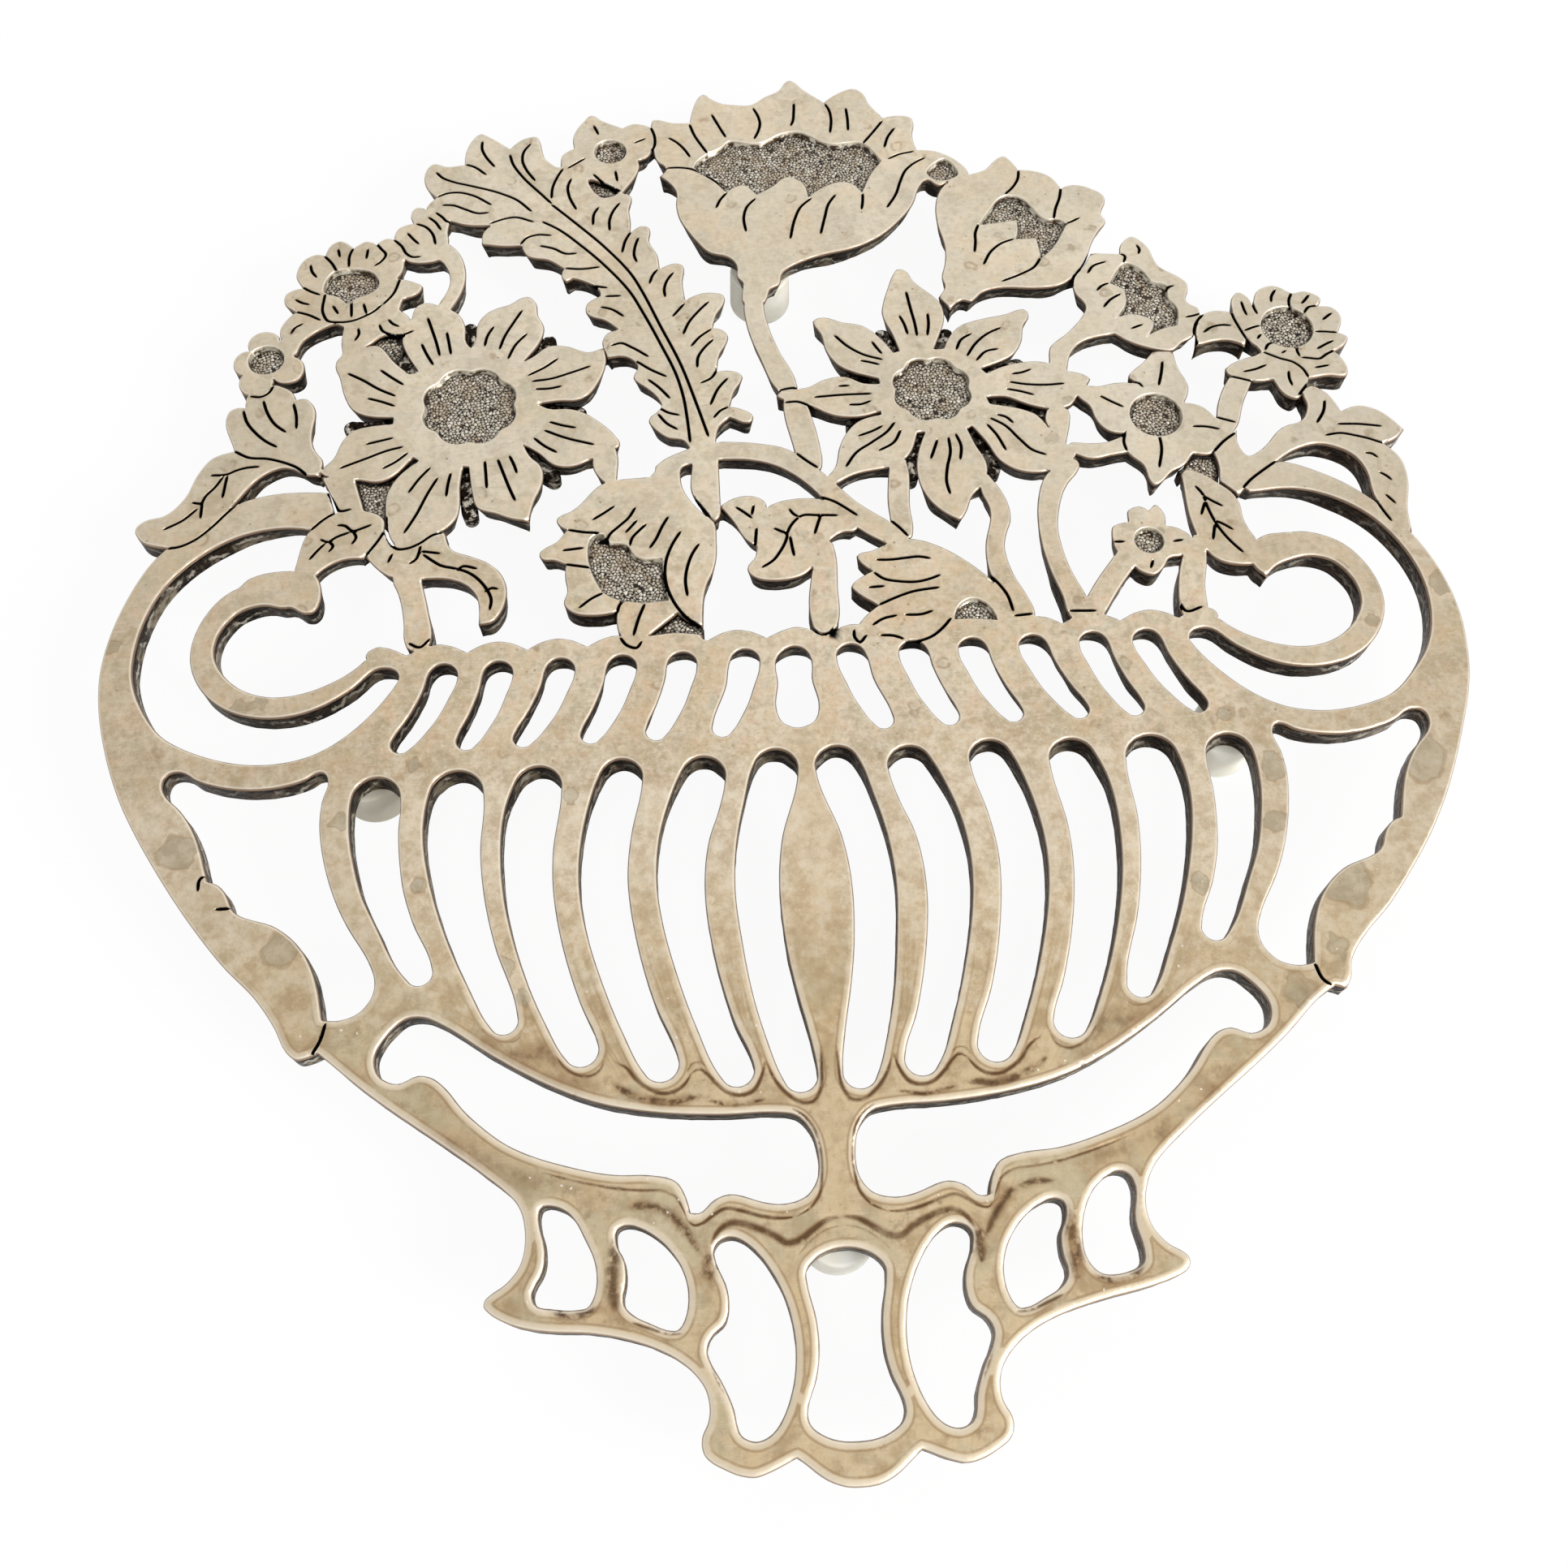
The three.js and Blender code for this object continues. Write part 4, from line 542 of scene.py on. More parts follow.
    [(-29.4, 42.5), (-28.6, 42.1), (-28, 41.3), (-27.7, 40.1)],
    [(-31.2, 40.8), (-30.5, 40), (-30.1, 39.2), (-29.6, 38.8), (-28.9, 38.8)],
    [(-27.8, 43.7), (-27.2, 43.1), (-26.8, 42.6), (-26.3, 42.5)],
    # long leaf
    [
        (-18.8, 42.2), (-17.5, 41.3), (-15.5, 39.3), (-13.4, 36.8), (-11.4, 33.8), (-10.6, 32),
        (-9.2, 28.5), (-7.9, 24.8), (-7.5, 22.8), (-7.3, 20.8), (-7.15, 18.5),
    ],
    [
        (-18, 44.1), (-16, 41.9), (-13.5, 39), (-11.2, 35.6), (-10.5, 34), (-9.2, 30.5),
        (-7.6, 26.2), (-6.5, 22.2), (-5.7, 19),
    ],
    [
        (-27.9, 48.3), (-27.3, 47.6), (-26.4, 47.1), (-25, 46.6), (-22.2, 45.5), (-21, 44.8),
        (-19.7, 43.4),
    ],
    [(-25.4, 49.1), (-24.7, 48.8), (-23.6, 47.8)],
    [(-24, 51.8), (-24, 50.8), (-23.7, 50), (-22.9, 48.7)],
    [(-21.6, 50.1), (-21.3, 48.9), (-20.6, 47.6), (-18.7, 45.1), (-18, 44.2)],
    [(-19.8, 51.3), (-20.4, 50.3), (-20.5, 49.3), (-20.2, 48.3), (-19.4, 46.9)],
    [(-27.8, 45.4), (-26.9, 45.8), (-25.9, 45.85), (-24.8, 45.5), (-23.1, 44.3)],
    [(-27.3, 44.5), (-26.3, 44.4), (-25.3, 43.9), (-24.2, 43.4), (-23.3, 43.45)],
    [(-23.2, 42.2), (-22.2, 42.6), (-21.2, 42.8), (-19.5, 42.2)],
    [(-20.6, 39.7), (-20.1, 40.4), (-19.3, 40.7), (-18, 40.6)],
    [(-19, 39.5), (-17.8, 39.1), (-16.8, 38.5), (-15.9, 38.5)],
    [(-16.9, 36.9), (-15.5, 36.75), (-14, 36.9)],
    [(-15.8, 35.5), (-14.6, 34.9), (-13.4, 34.6)],
    [(-13.6, 33.7), (-12.3, 33.7)],
    [(-14, 32.6), (-13.1, 32.3), (-12.1, 31.5)],
    [(-13.2, 28.5), (-12.4, 28.7), (-11.5, 28.2), (-10.2, 27.2)],
    [(-11.2, 26.8), (-10.1, 25.9), (-8.8, 25.1)],
    [(-10.3, 24.9), (-9.5, 24.1), (-8.6, 22.9)],
    [(-9.5, 22), (-8.8, 21.5), (-7.9, 21.2)],
    [(-9.6, 21.4), (-8.9, 20.4), (-8.1, 19.8)],
    [(-17, 48.2), (-17.5, 47.2), (-17.9, 46), (-18, 44.8)],
    [(-16.3, 47), (-16.6, 46), (-16.5, 45), (-15.9, 43.4)],
    [(-14, 43.6), (-14.4, 42.8), (-14.5, 41.6)],
    [(-12.2, 44), (-12.8, 43), (-13.1, 42), (-13.1, 40.9)],
    [(-11.3, 40.7), (-11.8, 39.7), (-12.1, 38.4)],
    [(-10.7, 40), (-11, 39), (-11.1, 38), (-10.9, 37.3)],
    [(-9.2, 36.4), (-9.6, 35.8), (-9.9, 34.9)],
    [(-7.9, 36), (-8.5, 35), (-8.7, 34.2), (-8.65, 33.4)],
    [(-7.1, 32.6), (-8.1, 31.3)],
    [(-5.1, 32.7), (-6, 31.7), (-6.8, 30.6), (-7.3, 29.4)],
    [(-5, 29.8), (-6, 29), (-6.7, 28.1)],
    [(-4.9, 28.7), (-5.7, 27.8), (-6.2, 26.9), (-6.3, 25.9)],
    [(-4.7, 25.6), (-5.2, 24.8), (-6.1, 24.3)],
    [(-3.9, 24.7), (-4.7, 23.7), (-5.4, 22.1)],
    [(-4, 21.8), (-4.6, 21.5), (-5.2, 20.8)],
    # top small flower
    [(-14.3, 53.2), (-13.9, 52.1)],
    [(-9.8, 51.4), (-10.8, 50.9)],
    [(-12.5, 47.7), (-12.35, 46.5)],
    [(-15.1, 49.3), (-16.6, 48.2)],
    [(-14.4, 47.4), (-13.6, 46.4), (-12.1, 45.3)],
]

engraving = {
    "reach": 1.5 * mm,
    "halfWidth": 0.29 * mm,
    "depth": 0.5 * mm,
    "pitch": 0.4 * mm,
    "endTaper": 0.6 * mm,
    "endWidthShare": 0.6,
    "leastDepth": 0.2,
    "beyondEnd": 0.22 * mm,
    "leastGroove": 0.01,
}


def runAlong(curve):
    # the distance of each point from the first, along the curve
    return np.concatenate([[0], np.cumsum(np.linalg.norm(np.diff(curve, axis=0), axis=1))])


def strokeOf(line):
    # the line's points as a smooth open curve at an even pitch, with half width and depth falling
    # towards both ends as w = w0 (e + (1 - e) s), g = g0 s, s = sqrt(clamp(distance / taper))
    points = toMetres(line)
    step = np.diff(points, axis=0)
    length = np.linalg.norm(step, axis=1)
    slope = step / length[:, None]
    inner = slopeThrough(slope[:-1], slope[1:], length[:-1], length[1:])
    tangent = np.concatenate([slope[:1], inner, slope[-1:]])
    parts = np.maximum(np.ceil(length / engraving["pitch"]).astype(int), 1)
    curve = curvePoints(parts, length, points[:-1], points[1:], tangent[:-1], tangent[1:])
    curve = np.concatenate([curve, points[-1:]])
    run = runAlong(curve)
    taper = np.sqrt(np.clip(np.minimum(run, run[-1] - run) / engraving["endTaper"], 0, 1))
    least = engraving["endWidthShare"]
    width = engraving["halfWidth"] * (least + (1 - least) * taper)
    depth = engraving["depth"] * np.maximum(taper, engraving["leastDepth"])
    return curve, width, depth


strokes = [strokeOf(line) for line in engravedLines]

# Brown tarnish in the urn's low places, on its right half: half width and darkness, then the points
# (u, v) that it runs through. The left half has the same, mirrored.
tarnishLines = [
    # round the lower ends of the flutes
    (0.27, 0.9, [
        (0.5, -30.6), (0.55, -32), (0.75, -33.4), (1.25, -34.1), (1.9, -34.15), (2.9, -33.5),
        (3.6, -32.6), (4.1, -31.4),
    ]),
    (0.25, 1.0, [
        (4.2, -31.3), (4.55, -32.4), (5.1, -33.2), (5.8, -33.42), (6.6, -33.25), (7.4, -32.6),
        (8, -31.9), (8.5, -31.55), (9, -31.8),
    ]),
    (0.25, 1.0, [
        (9, -31.8), (9.5, -32.5), (10.1, -32.9), (10.9, -33), (11.7, -32.7), (12.5, -32.1),
        (13.2, -31.2), (13.9, -30.75),
    ]),
    (0.17, 0.6, [(7.9, -31.6), (8.4, -31.1), (8.9, -31.15), (9.3, -31.7)]),
    (0.23, 0.8, [
        (14.6, -30.6), (15, -31.3), (15.7, -31.6), (16.4, -31.45), (17.1, -31), (17.8, -30.1),
    ]),
    (0.19, 0.5, [(19.9, -28.5), (20.4, -28.95), (21.2, -28.95), (22.2, -28.4), (22.9, -27.6)]),
    # down the stem and under the crescents
    (0.21, 0.9, [
        (2.6, -34.5), (1.9, -35), (1.4, -35.7), (1.1, -36.8), (1, -37.8), (1.05, -38.8), (1.25, -39.9),
        (1.9, -40.75), (2.8, -41.25),
    ]),
    (0.23, 1.0, [
        (2.8, -41.25), (3.6, -41.3), (5, -41.1), (6.2, -40.7), (7.3, -40.5), (8, -40.85), (8.7, -41.3),
        (9.2, -41.4), (9.6, -41.1),
    ]),
    (0.21, 0.8, [
        (9.6, -41.1), (9.9, -40.3), (10.3, -39.6), (11, -39.2), (12.5, -39.05), (14, -38.85),
        (15.5, -38.5), (17, -38.1), (18.5, -37.6),
    ]),
    # above the base's windows
    (0.42, 1.0, [
        (0, -41.4), (1, -41.6), (2, -42.2), (2.8, -42.7), (3.5, -42.8), (4.3, -42.3), (5.3, -41.8),
        (6.3, -41.45), (7, -41.4), (7.7, -41.8), (8.2, -42.5),
    ]),
    (0.17, 0.5, [(0, -41.95), (1, -42.15), (2, -42.75), (2.9, -43.6)]),
    # on the inner slopes beside the windows
    (0.21, 0.7, [(7.15, -46.2), (7.3, -45.2), (7.65, -44.3), (7.95, -43.3)]),
    (0.19, 0.7, [(8.5, -49.4), (8.25, -50.3), (7.8, -51.2)]),
    (0.25, 0.8, [(10.2, -47.75), (11.2, -47.6), (12.3, -47.25), (13.2, -46.9)]),
    (0.27, 1.0, [(18.5, -40.6), (18.15, -41.6), (17.95, -42.8), (18.15, -43.8)]),
]
# Browner patches beside them, mirrored too
tarnishPatches = [
    (0.32, 1.0, [(4.3, -33.75), (5, -33.9), (6, -34.05), (7, -33.9), (8, -33.65)]),
    (0.55, 1.0, [
        (8.6, -33.4), (9.5, -33.45), (10.4, -33.6), (11.5, -33.45), (12.5, -33.1), (13.4, -32.7),
        (14.3, -32),
    ]),
    (0.58, 0.95, [
        (8.8, -43.2), (9.4, -42.2), (10.1, -41.2), (10.8, -40.5), (11.6, -40.15), (12.5, -40),
        (13.6, -40.05),
    ]),
    (0.8, 0.9, [(8.4, -42.6), (8.5, -43.6), (8.35, -44.8)]),
    (1.01, 0.85, [(14.1, -41.8), (14.2, -43), (14.35, -44), (14.3, -45), (14.2, -46.3)]),
    (0.51, 0.9, [(18.45, -44), (18.35, -45), (17.9, -45.9), (17, -46.3), (16, -46.2), (15.1, -45.9)]),
    (1.3, 0.5, [
        (15.5, -38.9), (17, -38.6), (18.5, -38.2), (20, -37.7), (22, -36.7), (24, -35.5), (26, -34.2),
    ]),
    (1.3, 0.45, [(15.6, -32.4), (17.5, -31.7), (19.2, -30.8), (21, -29.9), (23, -28.5)]),
    (1.16, 0.6, [(17.7, -31), (18.6, -29.6), (19.6, -30.1), (21, -29.6)]),
]
# Dried drops and dull patches, each on one side only
driedDrops = [
    # right half
    (1.2, 1.0, [(32.9, -13), (33.2, -12.3), (33.3, -11.4)]),
    (1.1, 1.0, [(31.8, -16.5), (32.4, -16.4), (33.2, -16.2)]),
    (0.8, 0.9, [(29.4, -13.3), (29.4, -12.4), (29.3, -11.6)]),
    (0.9, 0.8, [(26.4, -21.4), (26.4, -20.7), (26.3, -20)]),
    (2.6, 0.9, [(35.9, -19.5), (36.4, -21), (36.9, -22.4)]),
    (1.5, 1.0, [(34.6, -25.8), (35.2, -25.6)]),
    (1.3, 1.0, [(48.7, 1.6), (49, 2.4), (49.2, 3.2)]),
    (2.2, 0.7, [(44.6, -10.6), (44.2, -12), (43.4, -13.6)]),
    (2.2, 0.7, [(31, -28.8), (32.4, -28.6)]),
    (0.9, 0.7, [(30, -7.9), (30.8, -7.7)]),
    (0.9, 0.7, [(41, 4.3), (42, 4.2)]),
    (0.9, 0.7, [(43, -0.2), (43, -1)]),
    # left half
    (1.0, 1.0, [(-33, -12.7), (-32.2, -12.5)]),
    (1.1, 0.6, [(-28.1, -8.4), (-27.4, -8.6)]),
    (1.0, 0.6, [(-27.2, -17.2), (-26.9, -18)]),
    (1.0, 1.0, [(-21.3, -23.4), (-21, -24.3)]),
    (0.7, 1.0, [(-20, -25.6), (-19.8, -26.4)]),
    (0.8, 0.8, [(-16.7, -11), (-16.7, -12)]),
    (2.2, 0.8, [(-44, -13.4), (-43.4, -15)]),
    (2.0, 0.7, [(-36.4, -21), (-35.8, -22.6)]),
    (1.1, 0.9, [(-40.8, -3.4), (-40, -3.2)]),
    (1.0, 0.8, [(-39.2, -3), (-38.6, -2.8)]),
    (0.9, 0.7, [(-50.2, 1.9), (-50, 2.7)]),
]
edgeLines = Lines(edges)
pocketLines = Lines(pockets)
strokeLines = Lines(
    [curve for curve, _, _ in strokes],
    closed=False,
    values=[np.stack([w[:-1], w[1:], g[:-1], g[1:]], axis=1) for _, w, g in strokes],
)
print("engraved lines", len(strokes))


tarnish = {
    "reach": 2.5 * mm,
    "dropReach": 6 * mm,
    "endWidth": 0.6,
    "widthTaper": (0, 0.25),
    "darknessTaper": (-0.1, 0.1),
}


def bothHalves(table, sides=(1, -1)):
    # the curves on these sides, with half width and darkness at either end of each short side
    curves, values = [], []
    for half, strength, line in table:
        for side in sides:
            curve, _, _ = strokeOf([(side * u, v) for u, v in line])
            run = np.linspace(0, 1, len(curve))
            toEnd = np.minimum(run, 1 - run)
            narrow = tarnish["endWidth"]
            wide = narrow + (1 - narrow) * smoothStep(*tarnish["widthTaper"], toEnd)
            width = half * drawing["unit"] * wide
            share = strength * smoothStep(*tarnish["darknessTaper"], toEnd)
            curves.append(curve)
            values.append(np.stack([width[:-1], width[1:], share[:-1], share[1:]], axis=1))
    return curves, values


def tarnishAt(points, lines, reach=tarnish["reach"]):
    # darkness s (1 - |d| / w)^2 (1 + 2 |d| / w) at the distance d from a line
    distance, index, t = lines.measure(points, reach)
    w0, w1, s0, s1 = lines.value[index].T
    across = np.clip(np.abs(distance) / (w0 + t * (w1 - w0)), 0, 1)
    share = (1 - across) ** 2 * (1 + 2 * across) * (s0 + t * (s1 - s0))
    return np.where(index >= 0, share, 0)


def besideLines(table, shares, pitch, sides=(1, -1)):
    # points on each line and at these shares of its half width to both sides, a pitch apart
    curves, values = bothHalves(table, sides)
    found = []
    for curve, value in zip(curves, values):
        across = leftOf(unitRows(np.gradient(curve, axis=0)))
        width = np.append(value[:, 0], value[-1, 1])[:, None]
        run = runAlong(curve)
        at = np.unique(np.searchsorted(run, np.arange(0, run[-1], pitch)))
        found += [(curve + side * share * width * across)[at] for share in shares for side in (1, -1)]
        found.append(curve[at])
    return np.concatenate(found)


def linesFrom(table, sides=(1, -1)):
    # a table's curves, ready to be measured to
    curves, values = bothHalves(table, sides)
    return Lines(curves, closed=False, values=values)


tarnishSides = linesFrom(tarnishLines)
patchSides = linesFrom(tarnishPatches)
dropSides = linesFrom(driedDrops, (1,))
print("tarnish lines", len(tarnishLines), "patches", len(tarnishPatches), "drops", len(driedDrops))


# The plate

# A grid is its pitch, how far each point moves, and a seed. Points beside lines are the shares of
# the half width at which they lie, and their pitch.
casting = {
    "edgeRound": 0.35 * mm,
    "edgeRings": (0.08 * mm, 0.35 * mm, 0.62 * mm),
    "borderRings": (0.85 * mm, 1.25 * mm),
    "borderFall": 0.13 * mm,
    "borderWidth": 0.95 * mm,
    "tarnishDip": 0.1 * mm,
    "patchDip": 0.06 * mm,
    "lipRing": 0.24 * mm,
    "lipFall": 0.1 * mm,
    "pocketRing": 0.27 * mm,
    "pocketDrop": 1.4 * mm,
    "sparseGrid": (2.3 * mm, 0.3 * mm, 5),
    "denseGrid": (0.8 * mm, 0.1 * mm, 6),
    "denseFrom": 1.4 * mm,
    "clearance": 0.9 * mm,
    "tarnishPoints": ((0.5, 1), 0.4 * mm),
    "patchPoints": ((0.5, 1), 0.7 * mm),
    "dropPoints": ((0.35, 0.65, 1), 0.6 * mm),
    "tarnishFromEdge": 0.45 * mm,
    "lineFromEdge": 0.12 * mm,
    "ringFromEdge": 0.05 * mm,
    "ringFromLine": 0.28 * mm,
    "ringCell": 0.1 * mm,
    "nearestShare": 0.93,
    "leastUrn": 0.02,
    "unevenness": 0.02 * mm,
    "unevenLength": 16 * mm,
    "unevenSeed": 3,
    "unevenFrom": 1.2 * mm,
    "wallLevels": (10.6 * mm, 8.6 * mm),
    "wallRoughness": 0.07 * mm,
    "under": plate["under"],
    "underRound": 0.25 * mm,
    "seed": 11,
    "onEdge": 0.002 * mm,
    "closeEnough": 1e-7,
    "middleReach": (6 * mm, 60 * mm),
    "nearReach": 1.0 * mm,
    "reach": 3.0 * mm,
    "farReach": 40.0 * mm,
    # where the lamp is, for the painted light on the walls that face it
    "paintedLightFrom": (0.93, -0.37),
    "pocketReach": 15.0 * mm,
    "urnTop": -26.5,
    "urnFade": 5.5,
}


def triangulate(points, sides):
    # Delaunay triangles that keep the sides
    made, _, faces, *_ = delaunay_2d_cdt(
        points.tolist(), sides.tolist(), [], 0, casting["closeEnough"], False
    )
    return np.array([tuple(p) for p in made], float), np.array(faces, int)


def loopSides(loops):
    # the pairs of neighbours round each loop, counted through all the loops
    total, sides = 0, []
    for loop in loops:
        index = np.arange(len(loop))
        sides.append(np.stack([index, (index + 1) % len(loop)], axis=1) + total)
        total += len(loop)
    return np.concatenate(sides)


def insideFaces(points, faces, lines, onLine):
    # Faces with a corner off the outline are metal; where all three lie on it, the middle tells.
    keep = ~onLine[faces].all(axis=1)
    asked = np.flatnonzero(~keep)
    for reach in casting["middleReach"]:
        distance, index, _ = lines.measure(points[faces[asked]].mean(axis=1), reach)
        keep[asked[(index >= 0) & (distance > 0)]] = True
        asked = asked[index < 0]
        if not len(asked):
            break
    return faces[keep]


def urnShare(points):
    # 1 on the urn, 0 above it
    _, v = toDrawing(points)
    middle, fade = casting["urnTop"], casting["urnFade"]
    return 1 - smoothStep(middle - fade, middle + fade, v)


# The bowl's half width at some heights v, as a share of its width at the rim
bowlShares = [
    (-40, 0.6), (-36, 0.6), (-33, 0.66), (-28, 0.8), (-22, 0.92), (-16, 0.985), (-8, 1), (0, 1),
]


def ribAcross(points):
    # x divided by the bowl's half width, so that it stays the same down each rib
    height, share = np.transpose(bowlShares)
    _, v = toDrawing(points)
    middle = -drawing["axisU"] * drawing["unit"]
    return (points[:, 0] - middle) / np.interp(v, height, share)


def hexGrid(low, high, pitch, jitter, seed):
    # rows of points half a pitch apart from one to the next, each moved a little at random
    rng = np.random.default_rng(seed)
    across = np.arange(low[0], high[0], pitch)
    up = np.arange(low[1], high[1], pitch * math.sqrt(3) / 2)
    x, y = np.meshgrid(across, up)
    x = x + (np.arange(len(up)) % 2)[:, None] * pitch / 2
    grid = np.stack([x.ravel(), y.ravel()], axis=1)
    return grid + rng.uniform(-jitter, jitter, grid.shape)


def ringPoints(loops, lines, offset, part=None):
    # points at this distance inside the outline, where nothing else of it is nearer
    ring = np.concatenate([loop + offset * inwardNormals(loop) for loop in loops])
    if part is not None:
        ring = ring[part(ring)]
    distance = lines.distanceTo(ring, abs(offset) * 2)
    return ring[np.sign(offset) * distance > casting["nearestShare"] * abs(offset)]


def grooveAt(points):
    # depth g (1 - |s| / w) below the top, |s| the distance from the line, and its share of the
    # greatest depth
    distance, index, t = strokeLines.measure(points, engraving["reach"])
    w0, w1, g0, g1 = strokeLines.value[index].T
    width, depth = w0 + t * (w1 - w0), g0 + t * (g1 - g0)
    fall = np.where(index >= 0, np.clip(1 - np.abs(distance) / width, 0, 1), 0) * depth
    return fall, fall / engraving["depth"], np.abs(distance)


def topHeight(points):
    # z = top - edge fall - urn's border - low lines - pocket - groove - unevenness, with
    # edge fall = r - sqrt(r^2 - (r - d)^2) for a distance d < r from the outline
    edge = np.maximum(edgeLines.distanceTo(points, casting["reach"]), 0)
    pocket = pocketLines.distanceTo(points, casting["nearReach"])
    groove, share, away = grooveAt(points)
    r = casting["edgeRound"]
    left = np.clip(r - edge, 0, r)
    fall = r - np.sqrt(r**2 - left**2)
    urn = urnShare(points)
    border = casting["borderFall"] * (1 - smoothStep(0, casting["borderWidth"], edge))
    line, patch = tarnishAt(points, tarnishSides), tarnishAt(points, patchSides)
    low = casting["tarnishDip"] * line + casting["patchDip"] * patch
    outside = casting["lipFall"] * (1 - smoothStep(0, casting["lipRing"], pocket))
    inside = casting["lipFall"] + (casting["pocketDrop"] - casting["lipFall"]) * np.clip(
        -pocket / casting["pocketRing"], 0, 1
    )
    sunk = np.where(pocket >= 0, outside, inside)
    uneven = casting["unevenness"] * smoothStep(0, casting["unevenFrom"], edge)
    uneven = uneven * (1.5 - ripple(points, casting["unevenLength"], casting["unevenSeed"]))
    z = plate["top"] - fall - urn * border - low - sunk - groove - np.maximum(uneven, 0)
    masks = {
        "edge": edge / mm,
        "groove": share,
        "near_groove": away / mm,
        "pocket": pocket / mm,
        "urn": urn,
        "line": line,
        "patch": patch,
        "drop": tarnishAt(points, dropSides, tarnish["dropReach"]),
        "rib": ribAcross(points) / mm,
    }
    return z, masks


# How far the walls lean in by the underside, in mm: the rim's slots as (u, lean) from left to
# right, the flowers, and everything else. The upper ends of the bowl's flutes lean out.
lean = {
    "flutes": 0.5,
    "flutesUnder": (-12.5, -10.8),
    "flutesTop": (-8.3, -8.0),
    "flutesWide": (29, 33),
    "facingFoot": (0.0, 0.7),
    "rim": [
        (-30, 0), (-22, 0.2), (-13, 0.6), (-6, 1.2), (2, 1.5), (14, 1.5), (24, 1.0), (30, 0.4), (34, 0),
    ],
    "rimTop": (-1.5, 0.5),
    "rimUnder": (-8.2, -7.8),
    "flowers": 1.05,
    "flowersFrom": (3, 9),
    "handles": (38, 43),
    "elsewhere": 0.04,
    "waves": (0.3, 9 * mm, 41),
    "least": 0.3,
    "most": 1.5,
    "tries": [n * mm for n in (0.1, 0.18, 0.28, 0.4, 0.55, 0.75, 0.95, 1.2, 1.5)],
    "triedAt": 1.7,
    "metalBehind": 1.15,
    "roomUsed": 0.8,
    "passes": 6,
}


def between(name, x):
    # 0 below the first of the two named values, 1 above the second
    return smoothStep(*lean[name], x)


def leanAt(points, inward):
    # elsewhere + rim(u) window(v) - flutes window(v) s(inward y) + flowers s(v) (1 - s(|u|)), rippled
    u, v = toDrawing(points)
    rim = np.interp(u, *np.transpose(lean["rim"])) * between("rimUnder", v) * (1 - between("rimTop", v))
    flutes = lean["flutes"] * between("flutesUnder", v) * (1 - between("flutesTop", v))
    flutes = flutes * between("facingFoot", inward[:, 1]) * (1 - between("flutesWide", np.abs(u)))
    flowers = lean["flowers"] * between("flowersFrom", v) * (1 - between("handles", np.abs(u)))
    height, length, seed = lean["waves"]
    wave = (1 + height * ripple(points, length, seed)).clip(lean["least"], lean["most"])
    return (lean["elsewhere"] + rim - flutes + flowers) * wave * mm


def roomFor(border, inward, lines):
    # the greatest of the tries that leaves metal behind it at every point of the border
    room = np.zeros(len(border))
    for tried in lean["tries"]:
        distance = lines.distanceTo(border + lean["triedAt"] * tried * inward, casting["reach"])
        fits = distance > lean["metalBehind"] * tried
        room = np.where(fits, np.maximum(room, tried), np.minimum(room, tried))
    return room


def anticlockwise(points, faces):
    # faces with cross(b - a, c - a) < 0 turned round
    a, b, c = (points[faces[:, k]] for k in range(3))
    turned = cross2(b - a, c - a) < 0
    return np.where(turned[:, None], faces[:, ::-1], faces)


wall = {
    "waveLength": 2.2 * mm,
    "waves": 5,
    "waveHeight": 0.33,
}


def borderOf(points, faces):
    # the points round the faces, the sides between them, and the direction inwards at each
    around, sides = np.unique(openEdges(faces, len(points)), return_inverse=True)
    sides = sides.reshape(-1, 2)
    border = points[around]
    run = unitRows(border[sides[:, 1]] - border[sides[:, 0]])
    inward = np.zeros((len(border), 2))
    for end in (0, 1):
        np.add.at(inward, sides[:, end], leftOf(run))
    return around, sides, unitRows(inward)


def leanShift(border, sides, inward, lines):
    # How far each point moves in by the underside: its lean, as far as there is room. Each pass
    # then takes (2 own + both neighbours') / 4 where that is less.
    shift = np.minimum(leanAt(border, inward), roomFor(border, inward, lines) * lean["roomUsed"])
    for _ in range(lean["passes"]):
        total = np.zeros(len(border))
        np.add.at(total, sides[:, 0], shift[sides[:, 1]])
        np.add.at(total, sides[:, 1], shift[sides[:, 0]])
        shift = np.minimum(shift, (2 * shift + total) / 4)
    return shift


def wallFaces(rows, sides):
    # two triangles on each side, between every row of points and the next
    found = []
    for high, low in zip(rows[:-1], rows[1:]):
        a, b = high[sides[:, 0]], high[sides[:, 1]]
        c, d = low[sides[:, 0]], low[sides[:, 1]]
        found += [np.stack([a, c, d], axis=1), np.stack([a, d, b], axis=1)]
    return found


